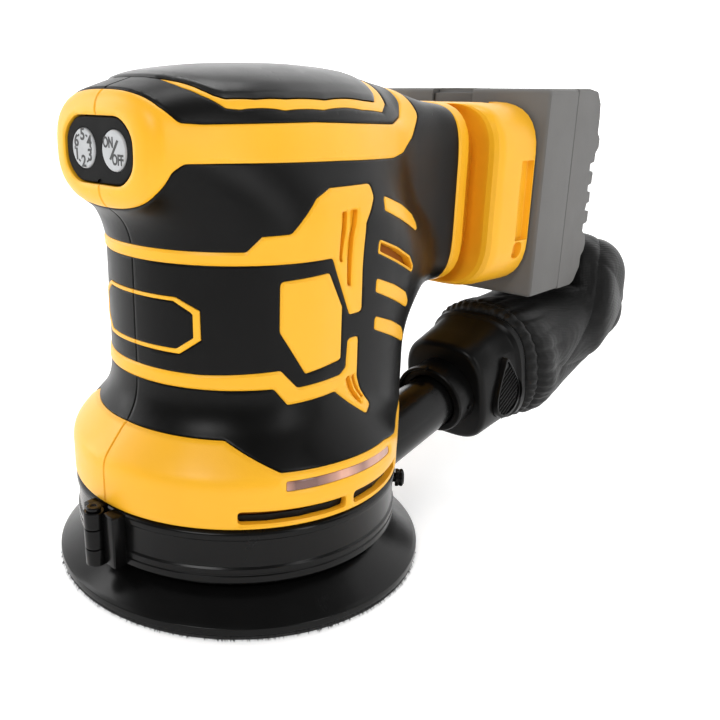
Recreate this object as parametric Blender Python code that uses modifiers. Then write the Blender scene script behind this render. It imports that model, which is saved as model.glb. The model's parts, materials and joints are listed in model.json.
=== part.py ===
"""Cordless random-orbit sander with a 125 mm pad, every piece modelled in its working place.

Frame: metres, +Z up. The pad's working face is z = 0 and the motor turns about Z through the origin.
The nose with its two buttons points to -Y, the battery hangs at +Y, and the dust outlet is at +X.
"""

import math

import bmesh
import bpy
from mathutils import Matrix, Vector

# Clearances and walls
GAP = 0.0003  # between two pieces that touch
RUNNING = 0.00005  # radial clearance of a running or pressed round fit
WALL = 0.0032  # moulded housing wall

# Pad and orbit
PAD_RADIUS = 0.0625
ORBIT = 0.00125  # pad axis to motor axis, for a 2.5 mm orbit
DUST_HOLES = 8
DUST_HOLE_RADIUS = 0.005
DUST_HOLE_CIRCLE = 0.0325
PAD_SCREWS = 3
PAD_SCREW_CIRCLE = 0.0125
PAD_TOP = 0.0123
SPINDLE_RADIUS = 0.005
ORBIT_BEARING_RADIUS = 0.013

# Motor stack, all about Z
SHAFT_RADIUS = 0.004
MOTOR_RADIUS = 0.024
FAN_RADIUS = 0.043

# Dust base: shroud round the fan, black collar round the shroud, yellow skirt above both
SHROUD_OUTER = 0.0497
SHROUD_INNER = 0.0465
COLLAR_INNER = 0.0500
COLLAR_RADIUS = 0.0545
COLLAR_BOTTOM = 0.0140
COLLAR_TOP = 0.0320
SKIRT_BOTTOM = 0.0324
SKIRT_TOP = 0.0592
HINGE_Y = -0.0590  # the collar's hinge pin stands in front, on the seam
HINGE_RADIUS = 0.0032
PIN_RADIUS = 0.0015
GATE_END = math.radians(43)  # the gate runs from the hinge round +X to here
LATCH_ANGLE = math.radians(38.5)

# Dust outlet: a straight tube leaving the fan chamber along a tangent, rising to the rear
OUTLET = Vector((0.025, 0.060, 0.033))
OUTLET_TILT = math.radians(12.5)
TUBE_RADIUS = 0.0105
TUBE_BORE = 0.0083
CLIP_DISTANCE = 0.0435  # of the squeeze clips' middle along the outlet axis

# Housing: (y, half width, underside, top) along the head, (z, radius, rear reach) up the column
HEAD = (
    (-0.0506, 0.0218, 0.1222, 0.1526),
    (-0.0440, 0.0250, 0.1180, 0.1540),
    (-0.0350, 0.0290, 0.1140, 0.1565),
    (-0.0200, 0.0330, 0.1080, 0.1583),
    (0.0020, 0.0350, 0.1000, 0.1592),
    (0.0250, 0.0350, 0.0920, 0.1585),
    (0.0500, 0.0300, 0.0860, 0.1553),
    (0.0800, 0.0240, 0.0840, 0.1470),
)
COLUMN = (
    (0.0595, 0.0480, 0.0615),
    (0.0680, 0.0427, 0.0610),
    (0.0740, 0.0419, 0.0605),
    (0.1120, 0.0415, 0.0600),
    (0.1220, 0.0390, 0.0570),
    (0.1290, 0.0320, 0.0480),
    (0.1310, 0.0220, 0.0300),
)
HEAD_FRONT = -0.0440
HEAD_REAR = 0.0800
HEAD_ROUNDNESS = 2.8  # superellipse power of the head's section
TAIL_POWER = 3.57  # superellipse power of the column's rear
BOSS_RADIUS = 0.0046  # screw posts between the two halves

# Control panel in the nose
PANEL_HALF = (0.0154, 0.0090)
PANEL_CENTRE_Z = 0.13655
BUTTONS = {"speed_button": (-0.0065, 0.1379), "power_button": (0.0078, 0.1372)}
BUTTON_RADIUS = 0.0055

# Battery foot and pack
FOOT_HALF = 0.0394
FOOT_REAR = 0.1170
PACK_HALF = 0.0420
PACK_FRONT = 0.1180
PACK_REAR = 0.1600
PACK_LOW = 0.0740
PACK_HIGH = 0.1520
PACK_CHAMFER = 0.0080  # along the pack's lower rear edge
CELL_RADIUS = 0.0091
CELL_LENGTH = 0.0650

FINISHES = {  # name: (colour, roughness, metallic)
    "yellow_plastic": ((0.95, 0.50, 0.05), 0.4, 0.0),
    "black_plastic": ((0.02, 0.02, 0.02), 0.5, 0.0),
    "gloss_black": ((0.01, 0.01, 0.01), 0.2, 0.0),
    "black_rubber": ((0.03, 0.03, 0.03), 0.8, 0.0),
    "hook_fabric": ((0.02, 0.02, 0.02), 0.9, 0.0),
    "grey_plastic": ((0.20, 0.19, 0.18), 0.6, 0.0),
    "silver_plastic": ((0.60, 0.61, 0.62), 0.4, 0.3),
    "smoked_lens": ((0.45, 0.25, 0.20), 0.2, 0.0),
    "steel": ((0.60, 0.60, 0.60), 0.3, 1.0),
    "aluminium": ((0.75, 0.75, 0.75), 0.4, 1.0),
    "copper": ((0.70, 0.35, 0.20), 0.4, 1.0),
    "circuit": ((0.02, 0.15, 0.05), 0.5, 0.0),
    "bag_fabric": ((0.02, 0.02, 0.02), 0.9, 0.0),
}


def clear_scene():
    for obj in list(bpy.data.objects):
        bpy.data.objects.remove(obj, do_unlink=True)


def make_finishes():
    made = {}
    for name, (colour, roughness, metallic) in FINISHES.items():
        material = bpy.data.materials.new(name)
        material.use_nodes = True
        shader = material.node_tree.nodes["Principled BSDF"]
        shader.inputs["Base Color"].default_value = (*colour, 1.0)
        shader.inputs["Roughness"].default_value = roughness
        shader.inputs["Metallic"].default_value = metallic
        made[name] = material
    return made


def make_collection(name):
    collection = bpy.data.collections.new(name)
    bpy.context.scene.collection.children.link(collection)
    return collection


clear_scene()
MATERIALS = make_finishes()
SANDER = make_collection("orbital_sander")
CUTTERS = make_collection("cutters")


def add(name, mesh, finish):
    """Links a part under its finish, or a cutter when finish is None."""
    obj = bpy.data.objects.new(name, mesh)
    if finish is None:
        CUTTERS.objects.link(obj)
        obj.hide_render = True
        obj.display_type = "WIRE"
        return obj
    SANDER.objects.link(obj)
    mesh.materials.append(MATERIALS[finish])
    return obj


def from_bmesh(name, bm, finish):
    bmesh.ops.recalc_face_normals(bm, faces=bm.faces)
    mesh = bpy.data.meshes.new(name)
    bm.to_mesh(mesh)
    bm.free()
    return add(name, mesh, finish)


def turned(name, profile, finish=None, frame=None, steps=32):
    """Spins (radius, height) points about Z: down the outer side, then up the bore if there is one."""
    touches_axis = profile[0][0] == 0 and profile[-1][0] == 0
    points = [(radius, 0, height) for radius, height in profile]
    edges = [(i, i + 1) for i in range(len(points) - 1)]
    if not touches_axis:
        edges.append((len(points) - 1, 0))
    mesh = bpy.data.meshes.new(name)
    mesh.from_pydata(points, edges, [])
    obj = add(name, mesh, finish)
    obj.matrix_world = frame or Matrix.Identity(4)
    screw = obj.modifiers.new("turn", "SCREW")
    screw.axis = "Z"
    screw.steps = steps
    screw.render_steps = steps
    screw.use_merge_vertices = True
    screw.merge_threshold = 0.00001
    screw.use_smooth_shade = True
    return obj


def ring(name, inner, outer, low, high, finish=None, frame=None, steps=32):
    profile = ((outer, high), (outer, low), (inner, low), (inner, high))
    return turned(name, profile, finish, frame, steps)


def box(name, low, high, finish=None, bevel=0.0):
    bm = bmesh.new()
    bmesh.ops.create_cube(bm, size=1)
    low, high = Vector(low), Vector(high)
    place = Matrix.Translation((low + high) / 2) @ Matrix.Diagonal((*(high - low), 1))
    bmesh.ops.transform(bm, matrix=place, verts=bm.verts)
    if bevel:
        bmesh.ops.bevel(bm, geom=bm.edges, offset=bevel, segments=2, profile=0.5, affect="EDGES")
    return from_bmesh(name, bm, finish)


def rod(name, start, end, radius, finish=None, sides=20):
    start, end = Vector(start), Vector(end)
    bm = bmesh.new()
    bmesh.ops.create_cone(
        bm, cap_ends=True, segments=sides, radius1=radius, radius2=radius, depth=(end - start).length
    )
    turn = Vector((0, 0, 1)).rotation_difference(end - start).to_matrix().to_4x4()
    bmesh.ops.transform(bm, matrix=Matrix.Translation((start + end) / 2) @ turn, verts=bm.verts)
    return from_bmesh(name, bm, finish)


def prism(name, outline, rise, finish=None):
    """Pushes a flat outline of 3-D points along the vector rise."""
    bm = bmesh.new()
    face = bm.faces.new([bm.verts.new(point) for point in outline])
    made = bmesh.ops.extrude_face_region(bm, geom=[face])
    moved = [item for item in made["geom"] if isinstance(item, bmesh.types.BMVert)]
    bmesh.ops.translate(bm, vec=rise, verts=moved)
    return from_bmesh(name, bm, finish)


def loft(name, rings, finish=None):
    """Skins rings of equally many points and closes both ends."""
    bm = bmesh.new()
    rows = [[bm.verts.new(point) for point in ring_points] for ring_points in rings]
    for row, following in zip(rows, rows[1:]):
        for i in range(len(row)):
            j = (i + 1) % len(row)
            bm.faces.new((row[i], row[j], following[j], following[i]))
    bm.faces.new(rows[0])
    bm.faces.new(rows[-1])
    bmesh.ops.triangulate(bm, faces=bm.faces)
    return from_bmesh(name, bm, finish)


def combine(obj, operation, cutters):
    for cutter in cutters:
        modifier = obj.modifiers.new(cutter.name, "BOOLEAN")
        modifier.operation = operation
        modifier.object = cutter
        modifier.solver = "EXACT"
    return obj


def weld(obj, distance=0.00002):
    modifier = obj.modifiers.new("weld", "WELD")
    modifier.merge_threshold = distance
    return obj


def cut(obj, *cutters):
    return combine(obj, "DIFFERENCE", cutters)


def join(obj, *others):
    return combine(obj, "UNION", others)


def keep_inside(obj, *others):
    return combine(obj, "INTERSECT", others)


def polar(radius, angle, z=0.0, centre=(0.0, 0.0)):
    return Vector((centre[0] + radius * math.cos(angle), centre[1] + radius * math.sin(angle), z))


def around(count, phase=0.0):
    return [phase + 2 * math.pi * i / count for i in range(count)]


def value_along(table, at, column):
    """Straight-line reading of a column of a sorted table."""
    for low, high in zip(table, table[1:]):
        if at <= high[0]:
            share = max(0.0, (at - low[0]) / (high[0] - low[0]))
            return low[column] + share * (high[column] - low[column])
    return table[-1][column]


def head_ring(y, inset=0.0, count=24):
    half = value_along(HEAD, y, 1) - inset
    low = value_along(HEAD, y, 2) + inset
    high = value_along(HEAD, y, 3) - inset
    points = []
    for angle in around(count):
        c, s = math.cos(angle), math.sin(angle)
        x = half * math.copysign(abs(c) ** (2 / HEAD_ROUNDNESS), c)
        z = (low + high) / 2 + (high - low) / 2 * math.copysign(abs(s) ** (2 / HEAD_ROUNDNESS), s)
        points.append((x, y, z))
    return points


def column_ring(z, inset=0.0, count=32):
    """A circle in front and a blunt tail behind."""
    radius = value_along(COLUMN, z, 1) - inset
    tail = value_along(COLUMN, z, 2) - inset
    points = []
    for angle in around(count, math.pi / count):
        c, s = math.cos(angle), math.sin(angle)
        y = radius * s if s < 0 else tail * s ** (2 / TAIL_POWER)
        points.append((radius * c, y, z))
    return points


def column_half_width(y):
    """Half width of the column's straight stretch at y."""
    radius, tail = COLUMN[3][1], COLUMN[3][2]
    if y < 0:
        return math.sqrt(radius**2 - y**2)
    return radius * math.sqrt(1 - (y / tail) ** TAIL_POWER)


def rounded_rectangle(half_u, half_v, corner, steps=4):
    points = []
    for quarter in range(4):
        sign_u = 1 if quarter in (0, 3) else -1
        sign_v = 1 if quarter in (0, 1) else -1
        for i in range(steps + 1):
            angle = math.pi / 2 * (quarter + i / steps)
            u = sign_u * (half_u - corner) + corner * math.cos(angle)
            v = sign_v * (half_v - corner) + corner * math.sin(angle)
            points.append((u, v))
    return points


def wedge(name, start, end, reach, low, high):
    """A pie slice between two angles, used to part a ring."""
    steps = 12
    angles = [start + (end - start) * i / steps for i in range(steps + 1)]
    outline = [(0, 0, low)] + [polar(reach, angle, low) for angle in angles]
    return prism(name, outline, (0, 0, high - low))


# --- Pad: turns on the orbit bearing, about its own axis -------------------------------------------

PAD_CENTRE = (0.0, ORBIT)
PAD_FRAME = Matrix.Translation((0, ORBIT, 0))


def build_pad():
    facing_profile = ((0, 0.0016), (PAD_RADIUS - 0.0005, 0.0016), (PAD_RADIUS - 0.0005, 0), (0, 0))
    facing = turned("hook_facing", facing_profile, "hook_fabric", PAD_FRAME, steps=44)
    pad_profile = (
        (0, 0.0060),
        (0.0200, 0.0060),
        (0.0215, 0.0090),
        (0.0400, 0.0090),
        (0.0430, PAD_TOP),
        (0.0500, PAD_TOP),
        (0.0560, 0.0078),
        (0.0612, 0.0050),
        (PAD_RADIUS, 0.0038),
        (PAD_RADIUS, 0.0019),
        (0, 0.0019),
    )
    pad = turned("backing_pad", pad_profile, "gloss_black", PAD_FRAME, steps=44)
    for index, angle in enumerate(around(DUST_HOLES, math.pi / DUST_HOLES)):
        centre = polar(DUST_HOLE_CIRCLE, angle, 0, PAD_CENTRE)
        low, high = centre - Vector((0, 0, 0.003)), centre + Vector((0, 0, 0.02))
        hole = rod(f"dust_hole_{index}", low, high, DUST_HOLE_RADIUS, sides=14)
        cut(facing, hole)
        cut(pad, hole)

    plate_profile = (
        (0, 0.0240),
        (SPINDLE_RADIUS, 0.0240),
        (SPINDLE_RADIUS, 0.0139),
        (0.0070, 0.0136),
        (0.0070, 0.0090),
        (0.0180, 0.0090),
        (0.0180, 0.0063),
        (0, 0.0063),
    )
    plate = turned("pad_spindle", plate_profile, "steel", PAD_FRAME)
    for index, angle in enumerate(around(PAD_SCREWS, math.pi / 2)):
        centre = polar(PAD_SCREW_CIRCLE, angle, 0, PAD_CENTRE)
        frame = Matrix.Translation(centre)
        low, seat, high = (centre + Vector((0, 0, height)) for height in (-0.0030, 0.0045, 0.0120))
        access = rod(f"screw_access_{index}", low, seat, 0.0041, sides=16)
        clearance = rod(f"screw_hole_{index}", centre, high, 0.0023, sides=14)
        cut(facing, access)
        cut(pad, access, clearance)
        cut(plate, clearance)
        screw_profile = (
            (0, 0.0089),
            (0.0020, 0.0089),
            (0.0020, 0.0042),
            (0.0037, 0.0042),
            (0.0037, 0.0020),
            (0.0018, 0.0020),
            (0.0015, 0.0032),
            (0, 0.0032),
        )
        turned(f"pad_screw_{index + 1}", screw_profile, "steel", frame, steps=20)


# --- Rotor: shaft, laminated core, cooling fan, dust fan and the eccentric hub -----------------------


def build_rotor():
    bore = SPINDLE_RADIUS + RUNNING
    ring("orbit_bearing", bore, ORBIT_BEARING_RADIUS, 0.0142, 0.0220, "steel", PAD_FRAME, 40)

    hub_profile = (
        (0, 0.0380),
        (0.0090, 0.0380),
        (0.0090, 0.0320),
        (0.0183, 0.0300),
        (0.0183, 0.0136),
        (0, 0.0136),
    )
    hub = turned("eccentric_hub", hub_profile, "aluminium")
    weight = ring("weight", 0.0175, 0.0290, 0.0145, 0.0250)
    keep_inside(weight, wedge("weight_half", math.pi * 1.08, math.pi * 1.92, 0.05, 0.01, 0.04))
    pocket = rod("pocket", (0, ORBIT, 0.0100), (0, ORBIT, 0.0222), ORBIT_BEARING_RADIUS + RUNNING, sides=40)
    relief = rod("relief", (0, ORBIT, 0.0200), (0, ORBIT, 0.0262), 0.0085)
    shaft_seat = rod("shaft_seat", (0, 0, 0.0240), (0, 0, 0.0400), SHAFT_RADIUS + RUNNING, sides=24)
    join(hub, weight)
    cut(hub, pocket, relief, shaft_seat)

    fan_profile = (
        (0.0220, 0.0330),
        (FAN_RADIUS + 0.001, 0.0330),
        (FAN_RADIUS + 0.001, 0.0312),
        (0.0220, 0.0312),
        (0.0220, 0.0262),
        (0.0186, 0.0262),
        (0.0186, 0.0330),
    )
    fan = turned("dust_fan", fan_profile, "black_plastic")
    for index, angle in enumerate(around(9)):
        blade = box(f"dust_blade_{index}", (0.0310, -0.0006, 0.0155), (FAN_RADIUS, 0.0006, 0.0316))
        blade.matrix_world = Matrix.Rotation(angle, 4, "Z")
        join(fan, blade)

    rod("motor_shaft", (0, 0, 0.0266), (0, 0, 0.1090), SHAFT_RADIUS, "steel", sides=24)
    ring("rotor_core", SHAFT_RADIUS + RUNNING, 0.0138, 0.0530, 0.0800, "steel")
    cooling_profile = (
        (0.0070, 0.0950),
        (0.0070, 0.0900),
        (0.0205, 0.0875),
        (0.0205, 0.0860),
        (SHAFT_RADIUS + RUNNING, 0.0860),
        (SHAFT_RADIUS + RUNNING, 0.0950),
    )
    cooling = turned("cooling_fan", cooling_profile, "black_plastic")
    for index, angle in enumerate(around(8)):
        blade = box(f"cooling_blade_{index}", (0.0066, -0.0005, 0.0868), (0.0200, 0.0005, 0.0948))
        blade.matrix_world = Matrix.Rotation(angle, 4, "Z")
        join(cooling, blade)


# --- Motor frame: bearings, end bells, can and stator, all still -------------------------------------


def build_motor():
    shaft_bore = SHAFT_RADIUS + RUNNING
    ring("lower_bearing", shaft_bore, 0.0110, 0.0417, 0.0486, "steel")
    ring("upper_bearing", shaft_bore, 0.0095, 0.0991, 0.1059, "steel")
    lower_bell = (
        (MOTOR_RADIUS, 0.0490),
        (MOTOR_RADIUS, 0.0400),
        (0.0094, 0.0400),
        (0.0094, 0.0414),
        (0.0110 + RUNNING, 0.0414),
        (0.0110 + RUNNING, 0.0490),
    )
    turned("lower_end_bell", lower_bell, "aluminium")
    upper_bell = (
        (0.0060, 0.1082),
        (MOTOR_RADIUS, 0.1082),
        (MOTOR_RADIUS, 0.0980),
        (0.0095 + RUNNING, 0.0980),
        (0.0095 + RUNNING, 0.1062),
        (0.0060, 0.1062),
    )
    turned("upper_end_bell", upper_bell, "aluminium")
    ring("motor_can", 0.0222, MOTOR_RADIUS, 0.0493, 0.0977, "steel")
    stator_profile = (
        (0.0200, 0.0840),
        (0.0219, 0.0780),
        (0.0219, 0.0550),
        (0.0200, 0.0500),
        (0.0160, 0.0500),
        (0.0146, 0.0550),
        (0.0146, 0.0780),
        (0.0160, 0.0840),
    )
    turned("stator", stator_profile, "copper")


# --- Outlet frame: local Z runs along the tube, local X stays the machine's X ------------------------

OUTLET_AXIS = Vector((0, math.cos(OUTLET_TILT), math.sin(OUTLET_TILT)))
OUTLET_FRAME = Matrix.Translation(OUTLET) @ Matrix.Rotation(OUTLET_TILT - math.pi / 2, 4, "X")


def along_outlet(distance):
    return OUTLET + OUTLET_AXIS * distance


# --- Dust base: shroud, brake seal, baffle, collar with its gate, skirt and outlet tube --------------


def skirt_slot(name, start, end, low, high):
    """A slot cut through the skirt between two angles."""
    slot = ring(name, 0.0450, 0.0600, low, high)
    keep_inside(slot, wedge(name + "_span", start, end, 0.07, low - 0.01, high + 0.01))
    return slot


def build_dust_base():
    tube_path = rod("tube_path", along_outlet(-0.045), along_outlet(0.06), TUBE_RADIUS + GAP, sides=24)
    bore_path = rod("bore_path", along_outlet(-0.045), along_outlet(0.06), TUBE_BORE, sides=24)

    shroud = ring("fan_shroud", SHROUD_INNER, SHROUD_OUTER, 0.0152, 0.0337, "black_plastic", steps=48)
    outlet_side = box("outlet_side", (0, 0, 0), (0.1, 0.1, 0.1))
    shroud_hole = rod("shroud_hole", along_outlet(-0.045), along_outlet(0.02), TUBE_BORE, sides=24)
    keep_inside(shroud_hole, outlet_side)
    cut(shroud, shroud_hole)
    ring("brake_seal", SHROUD_INNER + 0.0002, SHROUD_OUTER - 0.0002, 0.0126, 0.0149, "black_rubber", steps=48)
    cut(ring("baffle_plate", 0.0200, 0.0523, 0.0340, 0.0360, "black_plastic"), tube_path)

    start, end = along_outlet(-0.0400), along_outlet(0.0310)
    tube = rod("outlet_tube", start, end, TUBE_RADIUS, "gloss_black", sides=24)
    chamber = rod("chamber", (0, 0, 0), (0, 0, 0.08), SHROUD_OUTER + GAP, sides=48)
    cut(tube, chamber, bore_path)
    cut(tube, box("outlet_rear", (-0.1, -0.1, -0.1), (0.1, 0.030, 0.1)))

    collar_profile = (
        (0.0535, COLLAR_TOP),
        (COLLAR_RADIUS, COLLAR_TOP - 0.0008),
        (COLLAR_RADIUS, COLLAR_TOP - 0.0030),
        (0.0536, COLLAR_TOP - 0.0040),
        (0.0536, COLLAR_BOTTOM + 0.0050),
        (COLLAR_RADIUS, COLLAR_BOTTOM + 0.0040),
        (COLLAR_RADIUS, COLLAR_BOTTOM + 0.0008),
        (0.0535, COLLAR_BOTTOM),
        (COLLAR_INNER, COLLAR_BOTTOM),
        (COLLAR_INNER, COLLAR_TOP),
    )
    hinge_angle = -math.pi / 2
    slack = GAP / 2 / COLLAR_RADIUS
    ring_part = turned("collar_ring", collar_profile, "gloss_black", steps=48)
    ring_span = wedge("ring_span", GATE_END + slack, hinge_angle + 2 * math.pi - slack, 0.08, 0.0, 0.05)
    keep_inside(ring_part, ring_span)
    cut(ring_part, tube_path)
    gate = turned("collar_gate", collar_profile, "gloss_black", steps=48)
    gate_span = wedge("gate_span", hinge_angle + slack, GATE_END - slack, 0.12, 0.0, 0.05)
    keep_inside(gate, gate_span)

    knuckle_edges = (COLLAR_BOTTOM, 0.0197, 0.0263, COLLAR_TOP)
    owners = ((ring_part, -1), (gate, 1), (ring_part, -1))
    pin_hole = rod("pin_hole", (0, HINGE_Y, 0), (0, HINGE_Y, 0.05), PIN_RADIUS + RUNNING, sides=16)
    for index, (owner, side) in enumerate(owners):
        low = knuckle_edges[index] + GAP / 2
        high = knuckle_edges[index + 1] - GAP / 2
        barrel = rod(f"knuckle_{index}", (0, HINGE_Y, low), (0, HINGE_Y, high), HINGE_RADIUS, sides=16)
        near, far = sorted((side * GAP, side * (HINGE_RADIUS + 0.0012)))
        lug = box(f"lug_{index}", (near, HINGE_Y, low), (far, -0.0520, high))
        join(owner, barrel, lug)
    cut(ring_part, pin_hole)
    cut(gate, pin_hole)
    pin_profile = (
        (0, COLLAR_TOP + 0.0014),
        (0.0017, COLLAR_TOP + 0.0014),
        (0.0023, COLLAR_TOP + 0.0009),
        (0.0023, COLLAR_TOP + 0.0002),
        (PIN_RADIUS, COLLAR_TOP + 0.0001),
        (PIN_RADIUS, COLLAR_BOTTOM - 0.0002),
        (0, COLLAR_BOTTOM - 0.0002),
    )
    turned("hinge_pin", pin_profile, "steel", Matrix.Translation((0, HINGE_Y, 0)), steps=20)

    knob_height = 0.0262
    outward = polar(1, LATCH_ANGLE)
    lift = Vector((0, 0, knob_height))
    knob_frame = Matrix.Translation(lift) @ outward.to_track_quat("Z", "X").to_matrix().to_4x4()
    knob_profile = (
        (0, 0.0592),
        (0.0022, 0.0592),
        (0.0030, 0.0584),
        (0.0030, 0.0548),
        (0.0016, 0.0548),
        (0.0016, 0.0510),
        (0, 0.0510),
    )
    turned("latch_knob", knob_profile, "gloss_black", knob_frame, steps=20)
    knob_hole = rod("knob_hole", lift + outward * 0.045, lift + outward * 0.07, 0.0017 + RUNNING, sides=16)
    cut(gate, knob_hole)

    skirt_profile = (
        (0.0470, SKIRT_TOP),
        (0.0482, SKIRT_TOP - 0.0005),
        (0.0520, 0.0565),
        (0.0546, 0.0535),
        (0.0554, 0.0500),
        (0.0554, SKIRT_BOTTOM),
        (0.0526, SKIRT_BOTTOM),
        (0.0526, 0.0495),
        (0.0510, 0.0525),
        (0.0478, 0.0560),
        (0.0445, SKIRT_TOP),
    )
    skirt = turned("base_skirt", skirt_profile, "yellow_plastic", steps=48)
    cut(skirt, tube_path)
    for side, label in ((1, "right"), (-1, "left")):
        angles = [math.radians(a) if side > 0 else math.pi - math.radians(a) for a in (-28, 17)]
        start, end = sorted(angles)
        cut(skirt, skirt_slot(f"window_slot_{label}", start, end, 0.0440, 0.0480))
        margin = GAP / 0.0554
        lens = ring(f"window_{label}", 0.0530, 0.0550, 0.0443, 0.0477, "smoked_lens", steps=48)
        keep_inside(lens, wedge(f"lens_span_{label}", start + margin, end - margin, 0.07, 0.03, 0.06))
        vents = ((-43, -7), (-3, 23)) if side > 0 else ((157, 183), (187, 223))
        for index, (low, high) in enumerate(vents):
            slot = skirt_slot(f"vent_{label}_{index}", math.radians(low), math.radians(high), 0.0363, 0.0386)
            cut(skirt, slot)


# --- Housing halves, palm grip, nose and controls ----------------------------------------------------


def head_solid(name, inset, front, rear, finish=None):
    stations = [row[0] for row in HEAD if front < row[0] < rear]
    return loft(name, [head_ring(y, inset) for y in [front, *stations, rear]], finish)


def palm_region(name, margin):
    corners = rounded_rectangle(0.0230 + margin, 0.0480 + margin, 0.0120 + margin)
    outline = [(u, v + 0.0110, 0.1380) for u, v in corners]
    return prism(name, outline, (0, 0, 0.04))


def build_housing():
    column_inner = loft(
        "column_inner", [column_ring(z, WALL) for z in (0.0550, *(row[0] for row in COLUMN[:-2]), 0.1260)]
    )
    head_inner = head_solid("head_inner", WALL, HEAD_FRONT - 0.003, HEAD_REAR + 0.003)
    head_outer = head_solid("head_outer", 0.0, HEAD_FRONT, HEAD_REAR)
    palm_depth = 0.0015
    palm_recess = palm_region("palm_recess", GAP)
    cut(palm_recess, head_solid("palm_floor", palm_depth + GAP, HEAD_FRONT - 0.01, HEAD_REAR + 0.01))
    palm_core = head_solid("palm_core", palm_depth, HEAD_FRONT - 0.01, HEAD_REAR + 0.01)

    boss_places = ((-0.0310, 0.0680), (-0.0310, 0.1040), (0.0350, 0.0680), (0.0420, 0.1020))
    for side, label in ((1, "right"), (-1, "left")):
        half = loft(f"housing_{label}", [column_ring(row[0]) for row in COLUMN], "black_plastic")
        weld(join(half, head_outer))
        weld(cut(half, column_inner, head_inner))
        low, high = sorted((side * GAP / 2, side * 0.1))
        for index, (y, z) in enumerate(boss_places):
            widths = column_half_width(y - BOSS_RADIUS), column_half_width(y + BOSS_RADIUS)
            reach = side * (min(widths) - 0.0008)
            join(half, rod(f"boss_{label}_{index}", (0, y, z), (reach, y, z), BOSS_RADIUS, sides=14))
            if side > 0:
                cut(half, rod(f"pilot_{index}", (-0.01, y, z), (0.0110, y, z), 0.0017, sides=12))
                continue
            cut(half, rod(f"shank_{index}", (-0.03, y, z), (0.01, y, z), 0.0018, sides=12))
            cut(half, rod(f"counterbore_{index}", (-0.05, y, z), (-0.0120, y, z), 0.0034, sides=16))
        keep_inside(half, box(f"side_{label}", (low, -0.1, 0.0), (high, 0.2, 0.2)))
        weld(half)
        weld(cut(half, palm_recess))
        for index in range(4):
            z = 0.1010 - 0.0115 * index
            angle = side * math.radians(28)
            vent = box(f"rear_vent_{label}_{index}", (0.0, -0.0060, -0.0017), (0.05, 0.0060, 0.0017))
            turn = Matrix.Rotation(angle, 4, "X")
            mirror = Matrix.Diagonal((side, 1, 1, 1))
            vent.matrix_world = Matrix.Translation((side * 0.02, 0.0330 + 0.002 * index, z)) @ mirror @ turn
            cut(half, vent)

    for index, (y, z) in enumerate(boss_places):
        frame = Matrix.Translation((-0.0123, y, z)) @ Matrix.Rotation(-math.pi / 2, 4, "Y")
        profile = (
            (0, 0.0022),
            (0.0022, 0.0022),
            (0.0030, 0.0014),
            (0.0030, 0),
            (0.0015, 0),
            (0.0015, -0.0210),
            (0, -0.0220),
        )
        turned(f"housing_screw_{index + 1}", profile, "steel", frame, steps=14)

    palm = prism(
        "palm_grip",
        [(u, v + 0.0110, 0.1380) for u, v in rounded_rectangle(0.0230, 0.0480, 0.0120)],
        (0, 0, 0.04),
        "black_rubber",
    )
    cut(palm, palm_core)
    keep_inside(palm, head_solid("palm_skin", 0.0, HEAD_FRONT - 0.0005, HEAD_REAR))


def build_nose():
    nose_front = HEAD[0][0]
    bezel = head_solid("nose_bezel", 0.0, nose_front, HEAD_FRONT - GAP, "yellow_plastic")
    opening = [
        (u, -0.06, PANEL_CENTRE_Z + v)
        for u, v in rounded_rectangle(PANEL_HALF[0] + GAP, PANEL_HALF[1] + GAP, 0.0073)
    ]
    cut(bezel, prism("nose_opening", opening, (0, 0.04, 0)))
    outline = [(u, -0.0474, PANEL_CENTRE_Z + v) for u, v in rounded_rectangle(*PANEL_HALF, 0.0070)]
    panel = prism("control_panel", outline, (0, 0.0016, 0), "black_plastic")
    for name, (x, z) in BUTTONS.items():
        hole = rod(name + "_hole", (x, -0.06, z), (x, -0.04, z), BUTTON_RADIUS + GAP)
        cut(panel, hole)
        profile = (
            (0, 0.0486),
            (BUTTON_RADIUS - 0.0005, 0.0486),
            (BUTTON_RADIUS, 0.0481),
            (BUTTON_RADIUS, 0.0454),
            (0.0020, 0.0454),
            (0.0020, 0.0448),
            (0, 0.0448),
        )
        frame = Matrix.Translation((x, 0, z)) @ Matrix.Rotation(math.pi / 2, 4, "X")
        turned(name, profile, "silver_plastic", frame, steps=32)
        switch = name.replace("button", "switch")
        box(switch, (x - 0.003, -0.0436, z - 0.003), (x + 0.003, -0.0413, z + 0.003), "black_plastic", 0.0003)
    box("circuit_board", (-0.0150, -0.0410, 0.1270), (0.0150, -0.0394, 0.1460), "circuit")


# --- Battery foot, terminals and the removable pack --------------------------------------------------


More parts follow.
